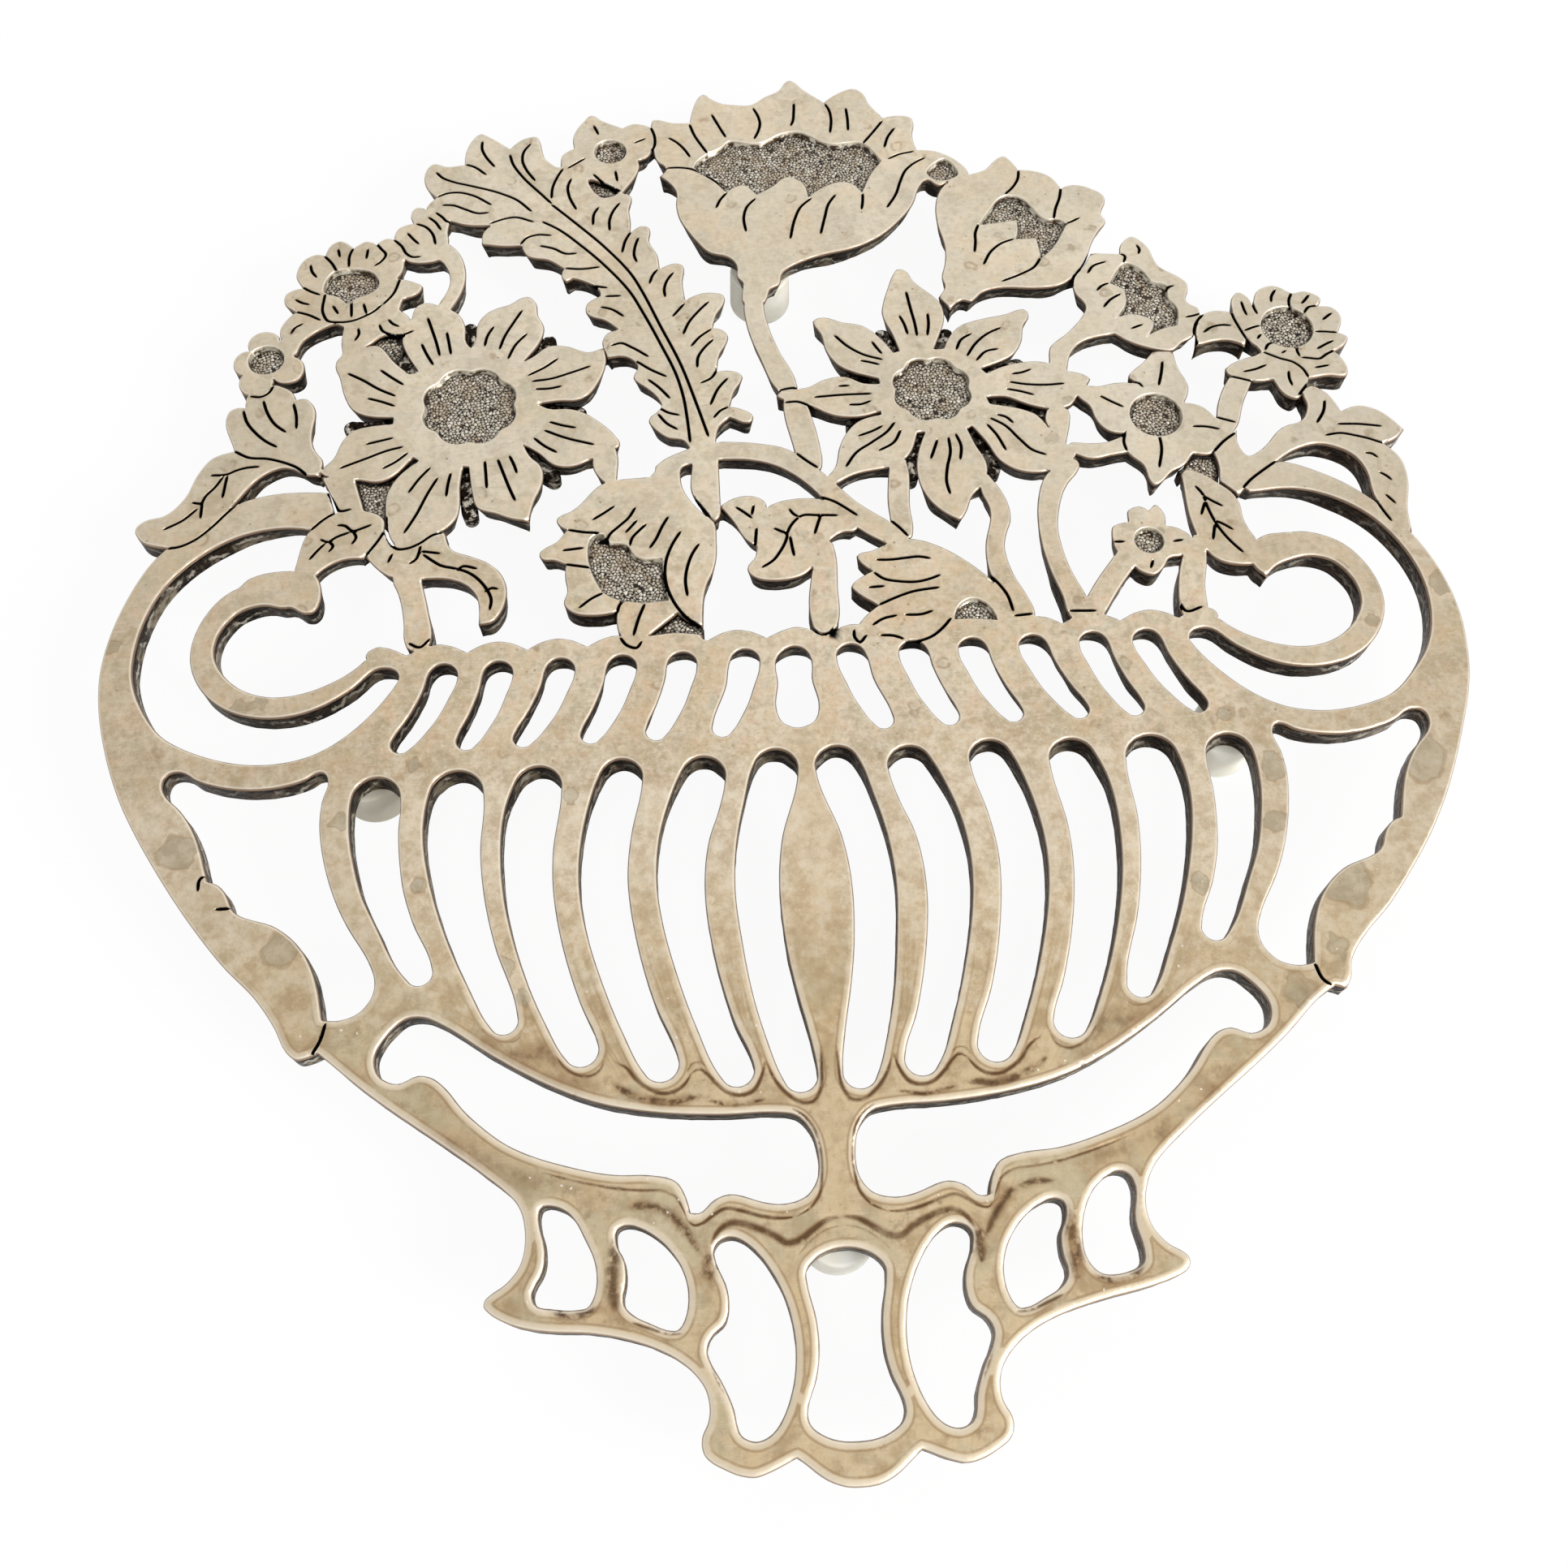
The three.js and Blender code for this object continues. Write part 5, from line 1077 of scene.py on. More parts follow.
def slab(loops, lines, inner, height, piece, leaning=False):
    # A closed body under a height field: the top face over the outline and its inner points, walls
    # down through the levels z, moved in by (lean)(top - z) / (top - under) and a ripple, and a
    # flat underside set in by its rounding.
    points, faces = triangulate(np.concatenate([*loops, inner]), loopSides(loops))
    onLine = np.abs(lines.distanceTo(points, casting["nearReach"])) < casting["onEdge"]
    faces = anticlockwise(points, insideFaces(points, faces, lines, onLine))
    used, faces = np.unique(faces, return_inverse=True)
    points, faces = points[used], faces.reshape(-1, 3)
    z, masks = height(points)
    around, sides, inward = borderOf(points, faces)
    border, count = points[around], len(around)
    shift = leanShift(border, sides, inward, lines) if leaning else np.zeros(count)

    everyPoint = [np.column_stack([points, z])]
    top, under, levels = z[around].mean(), piece["under"], piece["wallLevels"]
    for k, level in enumerate(levels):
        wave = ripple(border, wall["waveLength"], piece["seed"] + k, wall["waves"])
        inset = piece["wallRoughness"] * (0.5 + wall["waveHeight"] * wave).clip(0, 1)
        inset = inset + shift * (top - level) / (top - under)
        everyPoint.append(np.column_stack([border + inset[:, None] * inward, np.full(count, level)]))
    foot = (shift + piece["underRound"])[:, None] * inward
    everyPoint.append(np.column_stack([border + foot, np.full(count, under)]))
    rows = [around] + [len(points) + k * count + np.arange(count) for k in range(len(levels) + 1)]

    flat, sole = triangulate(border, sides)
    assert len(flat) == count, "two border points fell together"
    sole = anticlockwise(flat, insideFaces(flat, sole, lines, np.ones(count, bool)))
    closed = np.concatenate([faces, *wallFaces(rows, sides), rows[-1][sole[:, ::-1]]])
    copies = len(levels) + 1
    masks = {
        name: np.concatenate([value, np.tile(value[around], copies)]) for name, value in masks.items()
    }
    # how squarely each wall faces the lamp, for the painted light on the walls
    lit = np.clip(inward @ -np.array(casting["paintedLightFrom"]), 0, 1)
    masks["wall"] = np.concatenate([np.zeros(len(points)), np.ones(count * copies)])
    masks["lit"] = np.concatenate([np.zeros(len(points)), np.tile(lit, copies)])
    return np.concatenate(everyPoint), closed, masks


def makePiece(name, points, faces, masks=None, sharp=None):
    # A mesh whose corner normals are the area-weighted mean round each point, or the face's own
    # where it is sharp.
    mesh = bpy.data.meshes.new(name)
    mesh.vertices.add(len(points))
    mesh.vertices.foreach_set("co", points.astype(np.float32).ravel())
    mesh.loops.add(faces.size)
    mesh.loops.foreach_set("vertex_index", faces.astype(np.int32).ravel())
    mesh.polygons.add(len(faces))
    mesh.polygons.foreach_set("loop_start", np.arange(0, faces.size, faces.shape[1], dtype=np.int32))
    for key, value in (masks or {}).items():
        mesh.attributes.new(key, "FLOAT", "POINT").data.foreach_set("value", value.astype(np.float32))
    mesh.update(calc_edges=True)
    mesh.validate()
    a, b, c = (points[faces[:, k]] for k in range(3))
    faceNormal = np.cross(b - a, c - a)
    soft = faceNormal if sharp is None else faceNormal * ~sharp[:, None]
    pointNormal = np.zeros_like(points)
    for k in range(3):
        np.add.at(pointNormal, faces[:, k], soft)
    corner = unitRows(pointNormal)[faces]
    if sharp is not None:
        corner[sharp] = unitRows(faceNormal[sharp])[:, None]
    mesh.polygons.foreach_set("use_smooth", np.ones(len(faces), bool))
    mesh.normals_split_custom_set(corner.reshape(-1, 3).tolist())
    piece = bpy.data.objects.new(name, mesh)
    bpy.context.scene.collection.objects.link(piece)
    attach(piece, "root")
    print(name, len(points), "points", len(faces), "triangles")
    return piece


def spread(points, cell):
    # one point in each square of this size
    _, first = np.unique(np.floor(points / cell).astype(int), axis=0, return_index=True)
    return points[np.sort(first)]


def onUrn(points):
    # true on the urn and where it fades into the flowers
    return urnShare(points) > casting["leastUrn"]


def wellInside(points, distance):
    # the points this far inside the outline or farther
    edge, index, _ = edgeLines.measure(points, casting["farReach"])
    return points[(edge > distance) & (index >= 0)]


def gridInside(loops, lines, piece):
    # a grid over each loop's own square, of which the points inside the outline stay
    grid = np.concatenate([
        hexGrid(loop.min(axis=0), loop.max(axis=0), piece["pitch"], piece["jitter"], seed)
        for seed, loop in enumerate(loops)
    ])
    distance, index, _ = lines.measure(grid, piece["reach"], piece["tile"])
    return grid[(distance > casting["lineFromEdge"]) & (index >= 0)]


def ringsInside():
    # rings inside the outline and round the pockets, points beside the low lines, and the urn's
    # grid, none of them close to an engraved line
    low = np.concatenate([
        besideLines(tarnishLines, *casting["tarnishPoints"]),
        besideLines(tarnishPatches, *casting["patchPoints"]),
        besideLines(driedDrops, *casting["dropPoints"], (1,)),
    ])
    dense = hexGrid(*plateBox, *casting["denseGrid"])
    dense = dense[onUrn(dense)]
    rings = [ringPoints(edges, edgeLines, offset) for offset in casting["edgeRings"]]
    rings += [ringPoints(edges, edgeLines, offset, onUrn) for offset in casting["borderRings"]]
    rings += [wellInside(low, casting["tarnishFromEdge"]), wellInside(dense, casting["denseFrom"])]
    rings += [ringPoints(pockets, pocketLines, o) for o in (casting["lipRing"], -casting["pocketRing"])]
    ring = spread(np.concatenate(rings), casting["ringCell"])
    _, _, away = grooveAt(ring)
    edge = edgeLines.distanceTo(ring, casting["nearReach"])
    return ring[(away > casting["ringFromLine"]) & (edge > casting["ringFromEdge"])]


def strokePoints():
    # points along each engraved line, at its half width to both sides, and a little beyond its ends
    curve = np.concatenate([c for c, _, _ in strokes])
    width = np.concatenate([w for _, w, _ in strokes])
    across = unitRows(leftOf(np.concatenate([np.gradient(c, axis=0) for c, _, _ in strokes])))
    beside = np.concatenate([curve + width[:, None] * across, curve - width[:, None] * across])
    nearest, beyond = casting["nearestShare"], engraving["beyondEnd"]
    _, _, away = grooveAt(beside)
    beside = beside[away > nearest * np.tile(width, 2)]
    ends = np.array([
        end + beyond * unitRows(end - last)
        for c, _, _ in strokes
        for end, last in ((c[0], c[1]), (c[-1], c[-2]))
    ])
    _, _, away = grooveAt(ends)
    line = np.concatenate([curve, beside, ends[away > nearest * beyond]])
    clear = casting["lineFromEdge"]
    edge = edgeLines.distanceTo(line, casting["nearReach"])
    pocket = pocketLines.distanceTo(line, casting["nearReach"])
    return line[(edge > clear) & (pocket > clear)]


def sparsePoints():
    # a wide grid above the urn, clear of everything else
    clear = casting["clearance"]
    grid = hexGrid(*plateBox, *casting["sparseGrid"])
    grid = wellInside(grid[~onUrn(grid)], clear)
    pocket = pocketLines.distanceTo(grid, casting["pocketReach"])
    _, _, away = grooveAt(grid)
    return grid[(pocket > clear) & (away > clear)]


plateBox = [corner.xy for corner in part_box("pierced_plate")]
inner = np.concatenate([*pockets, strokePoints(), ringsInside(), sparsePoints()])
points, faces, masks = slab(edges, edgeLines, inner, topHeight, casting, leaning=True)
grooved = (masks["groove"][faces] > engraving["leastGroove"]).any(axis=1)
grooved = grooved & (masks["wall"][faces] == 0).all(axis=1)
pierced = makePiece("pierced_casting", points, faces, masks, grooved)
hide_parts("pierced_plate")


# Stippled floors. Grains are their spacing, how far each one moves, and a seed.

stipple = {
    "grow": 0.15 * mm,
    "pitch": 0.16 * mm,
    "jitter": 0.03 * mm,
    "grains": (0.6 * mm, 0.46, 21),
    "relief": 0.22 * mm,
    "crease": 0.43,
    "uneven": 0.07 * mm,
    "waves": 0.1 * mm,
    "waveLength": 5 * mm,
    "waveSeed": 22,
    "waveHeight": 0.3,
    "edgeRound": 0.2 * mm,
    "wallLevels": (9.8 * mm, 8.6 * mm),
    "wallRoughness": 0.03 * mm,
    "under": 8.32 * mm,
    "underRound": 0.1 * mm,
    "seed": 31,
    "reach": 12 * mm,
    "tile": 4 * mm,
}
lattice = {
    "rowPitch": 0.866,
    "table": 256,
}

grown = [loop - stipple["grow"] * inwardNormals(loop) for loop in floors]
floorLines = Lines(grown)


def grains(points, size, jitter, seed):
    # Seeds on a lattice of hexagons, each moved a little: F1 and F2 are a point's distances from
    # the nearest two, in seed spacings, and each seed has a number from 0 to 1.
    rng = np.random.default_rng(seed)
    count, rowPitch = lattice["table"], lattice["rowPitch"]
    table = rng.uniform(-1, 1, (count, count, 3))
    row = np.round(points[:, 1] / size / rowPitch).astype(int)
    away, numbers = [], []
    for down in (-1, 0, 1):
        j = row + down
        shift = (j % 2) * 0.5
        column = np.round(points[:, 0] / size - shift).astype(int)
        for across in (-1, 0, 1):
            i = column + across
            moved = table[i % count, j % count]
            x = (i + shift + jitter * moved[:, 0]) * size
            y = (j * rowPitch + jitter * moved[:, 1]) * size
            away.append(np.hypot(points[:, 0] - x, points[:, 1] - y) / size)
            numbers.append(0.5 + 0.5 * moved[:, 2])
    away, numbers = np.stack(away, axis=1), np.stack(numbers, axis=1)
    order = np.argsort(away, axis=1)
    pick = np.arange(len(points))
    return away[pick, order[:, 0]], away[pick, order[:, 1]], numbers[pick, order[:, 0]]


def stippleHeight(points):
    # z = floor - relief (1 - grain) - uneven (1 - n) - slow waves - edge fall, with
    # grain = smoothStep((F2 - F1) / crease) and n the grain's own number
    edge = floorLines.distanceTo(points, casting["nearReach"])
    first, second, number = grains(points, *stipple["grains"])
    grain = smoothStep(0, stipple["crease"], second - first)
    wave = ripple(points, stipple["waveLength"], stipple["waveSeed"])
    wave = (0.5 + stipple["waveHeight"] * wave).clip(0, 1)
    r = stipple["edgeRound"]
    left = np.clip(r - np.maximum(edge, 0), 0, r)
    z = plate["floor"] - stipple["relief"] * (1 - grain) - stipple["uneven"] * (1 - number) * grain
    z = z - stipple["waves"] * wave - (r - np.sqrt(r**2 - left**2))
    return z, {"edge": np.maximum(edge, 0) / mm, "grain": grain, "number": number}


grid = gridInside(grown, floorLines, stipple)
points, faces, masks = slab(grown, floorLines, grid, stippleHeight, stipple)
stippled = makePiece("stippled_floors", points, faces, masks)
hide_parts("pierced_plate")


# Webs in the slots between the petals

webs = {
    "halfWidth": 0.62,
    "top": 10.9 * mm,
    "relief": 0.35 * mm,
    "grains": (1.3 * mm, 0.4, 51),
    "pitch": 0.3 * mm,
    "jitter": 0.04 * mm,
    "endSteps": 7,
    "wallLevels": (9.6 * mm,),
    "wallRoughness": 0.03 * mm,
    "under": 8.34 * mm,
    "underRound": 0.1 * mm,
    "seed": 61,
    "reach": 3 * mm,
    "tile": 9 * mm,
}
webLines = [
    # left sunflower
    [(-28.9, 26.9), (-30.4, 28.8), (-31.5, 30.6)],
    [(-24.4, 28.9), (-24.5, 30.2), (-24.7, 31.4)],
    [(-19.9, 27.3), (-18.9, 28.9), (-18.3, 29.8)],
    [(-30.7, 21.9), (-32.2, 21.8), (-33.9, 21.9)],
    [(-19, 22.85), (-17.4, 22.65), (-15.9, 22.4)],
    [(-28.7, 17.8), (-30, 16.7), (-31, 15.8)],
    [(-24.7, 16.9), (-24.6, 15), (-24.4, 13.3)],
    [(-20, 18.5), (-19, 17.3), (-18, 16.5)],
    # right sunflower
    [(9.9, 27.1), (9.4, 28.2), (9, 29)],
    [(13.4, 27.2), (13.8, 28), (14.2, 28.8)],
    [(7.8, 23.8), (6.8, 24.2), (5.9, 24.6)],
    [(7.7, 20.5), (6.8, 20.35), (5.9, 20.15)],
    [(16.9, 24.3), (18.3, 24.7), (19.7, 25.4)],
    [(17, 21.4), (19, 20.75), (21, 20.1)],
    [(11.3, 18.3), (10.6, 16.8), (10, 15)],
    [(15.3, 18.5), (15.9, 17), (16.5, 15.2)],
]


def stripLoop(line):
    # both sides of the curve at half width r, joined by half circles c + r (cos a, sin a)
    curve, _, _ = strokeOf(line)
    r = webs["halfWidth"] * drawing["unit"]
    along = unitRows(np.gradient(curve, axis=0))
    across = leftOf(along)
    a = np.linspace(-np.pi / 2, np.pi / 2, webs["endSteps"])[1:-1, None]
    ahead = curve[-1] + r * (np.cos(a) * along[-1] + np.sin(a) * across[-1])
    behind = curve[0] - r * (np.cos(a) * along[0] + np.sin(a) * across[0])
    return np.concatenate([curve - r * across, ahead, (curve + r * across)[::-1], behind])


strips = [stripLoop(line) for line in webLines]
stripSides = Lines(strips)


def webHeight(points):
    # z = top - relief (F1 + n / 2), n the grain's own number
    first, _, number = grains(points, *webs["grains"])
    return webs["top"] - webs["relief"] * (first + number / 2), {}


grid = gridInside(strips, stripSides, webs)
points, faces, _ = slab(strips, stripSides, grid, webHeight, webs)
masks = {name: np.ones(len(points)) for name in ("wall", "web")}
petalWebs = makePiece("petal_webs", points, faces, masks)
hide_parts("pierced_plate")


# Push-on caps

cap = {
    "around": 96,
    "soleRound": 1.1 * mm,
    "topRound": 0.5 * mm,
    "taper": 0.12 * mm,
    "roundSteps": 9,
    "sideSteps": 7,
    "rings": (0.92, 0.08, 8),
    "lift": 0.28 * mm,
    # each cap's share of painted shade, for the plate's shadow over it
    "paintedCapShade": {"foot_top": 0.35, "foot_left": 0.6, "foot_right": 0.08, "foot_bottom": 0.0},
}


def capProfile(radius, height):
    # From the middle of the sole, up the side and in to the middle of the top, as (r, z):
    # quarter circles at both corners, and a side that narrows by the taper.
    a = np.linspace(0, np.pi / 2, cap["roundSteps"])
    low, high, taper = cap["soleRound"], cap["topRound"], cap["taper"]
    sole = np.stack([radius - low + low * np.sin(a), low * (1 - np.cos(a))], axis=1)
    up = np.linspace(0, 1, cap["sideSteps"])[1:-1, None]
    side = up * [-taper, height - low - high] + [radius, low]
    top = np.stack([
        radius - taper - high * (1 - np.cos(a)),
        height - high * (1 - np.sin(a)),
    ], axis=1)
    inner = np.linspace(*cap["rings"])[:, None]
    below = sole[:1] * [1, 0] * inner[::-1]
    above = np.stack([top[-1, 0] * inner[:, 0], np.full(len(inner), height)], axis=1)
    return np.concatenate([below, sole, side, top, above])


def turnProfile(profile, centre, n):
    # (x0 + r cos a, y0 + r sin a, z) for each (r, z) of the profile, with a point at either pole
    angle = np.linspace(0, 2 * np.pi, n, endpoint=False)
    r, a = np.meshgrid(profile[:, 0], angle, indexing="ij")
    z = np.repeat(profile[:, 1:2], n, axis=1)
    ring = np.stack([centre.x + r * np.cos(a), centre.y + r * np.sin(a), z], axis=-1).reshape(-1, 3)
    poles = [[centre.x, centre.y, 0], [centre.x, centre.y, profile[-1, 1]]]
    i, j = np.meshgrid(np.arange(len(profile) - 1), np.arange(n), indexing="ij")
    a0, b0 = i * n + j, i * n + (j + 1) % n
    a1, b1 = a0 + n, b0 + n
    side = [np.stack(corners, axis=-1).reshape(-1, 3) for corners in ([a0, b0, b1], [a0, b1, a1])]
    j = np.arange(n)
    base = (len(profile) - 1) * n
    lower = np.stack([np.full(n, len(ring)), (j + 1) % n, j], axis=1)
    upper = np.stack([np.full(n, len(ring) + 1), base + j, base + (j + 1) % n], axis=1)
    return np.concatenate([ring, poles]), np.concatenate([*side, lower, upper])


def makeCap(nodeName):
    # a cap in the foot's own box, its top lifted a little into the plate
    low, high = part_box(nodeName)
    profile = capProfile((high.x - low.x) / 2, high.z + cap["lift"])
    points, faces = turnProfile(profile, (low + high) / 2, cap["around"])
    # the cap's painted shade
    paintedCapShade = np.full(len(points), cap["paintedCapShade"][nodeName])
    piece = makePiece(nodeName.replace("foot", "cap"), points, faces, {"paintedCapShade": paintedCapShade})
    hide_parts(nodeName)
    return piece


caps = [makeCap(name) for name in ("foot_top", "foot_left", "foot_right", "foot_bottom")]


# Finishes


class Wire:
    # A shader socket: sums on it add Math nodes, and node() adds a node of any other kind.
    def __init__(self, tree, socket=None):
        self.tree, self.socket = tree, socket

    def node(self, kind, values=None, settings=None, out=0):
        made = self.tree.nodes.new(kind)
        for name, value in (settings or {}).items():
            setattr(made, name, value)
        for name, value in (values or {}).items():
            if isinstance(value, Wire):
                self.tree.links.new(value.socket, made.inputs[name])
            else:
                made.inputs[name].default_value = value
        return Wire(self.tree, made.outputs[out])

    def maths(self, operation, *terms):
        return self.node("ShaderNodeMath", dict(enumerate(terms)), {"operation": operation})

    def __add__(self, other):
        return self.maths("ADD", self, other)

    def __sub__(self, other):
        return self.maths("SUBTRACT", self, other)

    def __rsub__(self, other):
        return self.maths("SUBTRACT", other, self)

    def __mul__(self, other):
        return self.maths("MULTIPLY", self, other)

    def __truediv__(self, other):
        return self.maths("DIVIDE", self, other)

    def __abs__(self):
        return self.maths("ABSOLUTE", self)

    __radd__, __rmul__ = __add__, __mul__

    def step(self, low, high):
        # 0 below low to 1 above high, smoothly
        values = {"Value": self, "From Min": low, "From Max": high}
        return self.node("ShaderNodeMapRange", values, {"interpolation_type": "SMOOTHSTEP"})

    def mix(self, first, second):
        # between two colours, by this share
        settings = {"data_type": "RGBA", "clamp_factor": True}
        return self.node("ShaderNodeMix", {0: self, 6: first, 7: second}, settings, out=2)

    def mask(self, name):
        # a value that each point of the mesh carries
        return self.node("ShaderNodeAttribute", settings={"attribute_name": name}, out="Fac")

    def place(self, stretch=(1, 1, 1)):
        # where a point is, x, y and z each times its stretch
        at = self.node("ShaderNodeTexCoord", out="Object")
        return self.node("ShaderNodeVectorMath", {0: at, 1: stretch}, {"operation": "MULTIPLY"})

    def noise(self, at, size, detail=3, rough=0.55, shift=0.0):
        values = {"Vector": at, "Scale": 1 / size, "Detail": detail, "Roughness": rough, "W": shift}
        return self.node("ShaderNodeTexNoise", values, {"noise_dimensions": "4D"})

    def cells(self, at, size):
        return self.node("ShaderNodeTexVoronoi", {"Vector": at, "Scale": 1 / size})

    def bump(self, height, distance, strength=1.0, before=None):
        values = {"Height": height, "Distance": distance, "Strength": strength}
        if before:
            values["Normal"] = before
        return self.node("ShaderNodeBump", values)


def colour(red, green, blue):
    # a colour as it looks on a screen, 0 to 255, as linear light
    share = np.array([red, green, blue]) / 255
    linear = np.where(share <= 0.04045, share / 12.92, ((share + 0.055) / 1.055) ** 2.4)
    return (*linear.tolist(), 1.0)


def newMaterial(name):
    # an empty material and its wire
    made = bpy.data.materials.new(name)
    made.use_nodes = True
    tree = made.node_tree
    tree.nodes.clear()
    return made, Wire(tree)


def toOutput(wire, surface):
    # the surface that the material shows
    output = wire.tree.nodes.new("ShaderNodeOutputMaterial")
    wire.tree.links.new(surface.socket, output.inputs["Surface"])


def finishMaterial(wire, values):
    # one Principled surface with these values
    toOutput(wire, wire.node("ShaderNodeBsdfPrincipled", values))


silver = {
    "pale": colour(238, 223, 198),
    "body": colour(220, 202, 173),
    "olive": colour(172, 152, 119),
    "moss": colour(186, 178, 146),
    "grey": colour(204, 197, 180),
    "warm": colour(214, 186, 144),
    "rose": colour(228, 194, 162),
    "rust": colour(150, 116, 78),
    "brown": colour(104, 77, 50),
    "umber": colour(66, 49, 34),
    "oxide": colour(34, 27, 21),
    "ink": colour(9, 7, 6),
    # pale: wear, scratches and specks, and painted highlight on the edges, the pockets' lips and the
    # urn's border
    "wearAndHighlight": colour(252, 244, 228),
    "paintedEdgeShade": colour(146, 116, 90),
    # painted glints on the walls, then painted light on the walls that face the lamp, dim and bright
    "glint": colour(232, 224, 208),
    "paintedWallLightDim": colour(104, 88, 66),
    "paintedWallLight": colour(212, 198, 172),
    "dull": colour(166, 156, 132),
    "cool": colour(232, 226, 210),
    "gold": colour(226, 204, 160),
    "stain": colour(178, 150, 112),
}
silverMasks = {
    "edge": "edge",
    "groove": "groove",
    "near": "near_groove",
    "pocket": "pocket",
    "urn": "urn",
    "wall": "wall",
    "line": "line",
    "stained": "patch",
    "rib": "rib",
}
# the size of each noise, its detail, its roughness and where it starts
silverNoises = {
    "slow": (20 * mm, 4),
    "patch": (5 * mm, 5, 0.65, 3.1),
    "fine": (1.0 * mm, 4, 0.6, 7.7),
    "tone": (2.2 * mm, 4, 0.62, 1.3),
    "hue": (2.6 * mm, 5, 0.65, 27.0),
    "grit": (0.55 * mm, 3, 0.65, 33.0),
    "clouds": (9 * mm, 4, 0.6, 23.0),
    "rosy": (7 * mm, 4, 0.6, 15.0),
    "blots": (3 * mm, 4, 0.65, 18.0),
    "stains": (3 * mm, 6, 0.7, 51.0),
    "grain": (0.16 * mm, 2, 0.5, 9.0),
}


class Values:
    # What the silver's coats share, by name: masks, noises, the place x, y, z in mm from the
    # part's middle at the table, the place moved by a swirl, and the colour so far.
    def __init__(self, w):
        self.at = at = w.place()
        for name, mask in silverMasks.items():
            setattr(self, name, w.mask(mask))
        for name, kind in silverNoises.items():
            setattr(self, name, w.noise(at, *kind))
        self.x, self.y, self.z = (
            w.node("ShaderNodeSeparateXYZ", {0: at}, out=axis) / mm for axis in range(3)
        )
        swirl = w.node("ShaderNodeTexNoise", {"Vector": at, "Scale": 1 / (5 * mm), "Detail": 2}, out=1)
        moved = {0: swirl, 1: (2.4 * mm, 2.4 * mm, 0), 2: at}
        self.turned = w.node("ShaderNodeVectorMath", moved, {"operation": "MULTIPLY_ADD"})
        self.shade = self.slow.step(0.38, 0.62).mix(silver["body"], silver["pale"])

    def coat(self, share, name):
        # shade + share (colour - shade)
        self.shade = share.mix(self.shade, silver[name])


def bodyCoats(w, v):
    # blotches and specks of several sizes, spots and scratches, paler and cooler at the top
    v.coat(v.y.step(-24, -14) * 0.12, "olive")
    v.coat(v.tone.step(0.5, 0.62) * 0.45, "grey")
    v.coat(v.patch.step(0.5, 0.6) * 0.45, "olive")
    v.coat((1 - v.patch.step(0.4, 0.5)) * 0.4, "warm")
    upper, v.bowlOnly = v.y.step(4, 40), (1 - v.y.step(-24, -12)) * v.y.step(-66, -58)
    v.coat(v.hue.step(0.52, 0.6) * (0.4 - upper * 0.3), "rose")
    v.coat(v.hue.step(0.5, 0.56) * v.bowlOnly * 0.35, "olive")
    v.coat((1 - v.hue.step(0.38, 0.47)) * 0.4, "moss")
    v.coat(v.rosy.step(0.5, 0.7) * v.urn * 0.5, "rose")
    v.coat(upper * v.clouds.step(0.4, 0.58) * 0.35, "grey")
    v.coat(upper * (0.2 + v.x.step(30, 80) * 0.3), "cool")
    sandy = 1 - v.y.step(-44, 20) * 0.6
    v.coat(v.fine.step(0.52, 0.64) * sandy * 0.45, "olive")
    v.coat((1 - v.fine.step(0.38, 0.48)) * sandy * 0.55, "pale")
    v.coat(v.grit.step(0.52, 0.64) * sandy * 0.28, "olive")
    v.coat((1 - v.grit.step(0.36, 0.48)) * sandy * 0.4, "pale")
    scratches = w.noise(w.place((0.1, 1, 1)), 0.24 * mm, 2, 0.5, 41.0).step(0.58, 0.68)
    v.coat(scratches * (0.2 + v.urn * 0.3), "wearAndHighlight")
    spots = w.cells(v.turned, 6 * mm)
    spot = (1 - spots.step(0.1, 0.17)) * v.patch.step(0.4, 0.55)
    ring = spots.step(0.1, 0.15) * (1 - spots.step(0.16, 0.24)) * v.tone.step(0.42, 0.6)
    v.coat(ring * 0.5, "rust")
    v.coat(spot * (0.25 + v.x.step(20, 60) * 0.45), "dull")
    specks = 1 - w.cells(v.at, 2.3 * mm).step(0.05, 0.12)
    v.coat(specks * v.tone.step(0.46, 0.56) * 0.7, "rust")


def streakCoats(w, v):
    # streaks down the ribs, most of them low on the bowl, and the dark heart of the middle rib
    along = w.node("ShaderNodeCombineXYZ", {0: v.rib / 0.55 + v.patch * 1.5, 1: v.y / 9})
    broadly = w.node("ShaderNodeCombineXYZ", {0: v.rib / 2.1, 1: v.y / 16})
    v.brushed = w.noise(along, 1, 4, 0.62, 2.2)
    broad = w.noise(broadly, 1, 4, 0.6, 5.5)
    v.bowl = v.y.step(-68, -62) * (1 - v.y.step(-58, -40)) * (1 - abs(v.rib).step(56, 64))
    v.streaks = broad.step(0.36, 0.6) * v.brushed.step(0.34, 0.6) * (v.bowl * 0.95 + v.urn * 0.14)
    v.coat(broad.step(0.4, 0.62) * v.bowl * 0.5, "rust")
    v.coat(v.streaks * v.edge.step(0.5, 1.1) * 0.95, "brown")
    middle = 1 - (abs(v.rib) / 4.6).step(0.6, 1.0)
    heart = middle * v.y.step(-70, -65) * (1 - v.y.step(-54, -38))
    v.coat(heart * (0.2 + v.blots.step(0.4, 0.58) * 0.6), "umber")
    v.coat(middle * v.bowlOnly * 0.5, "warm")


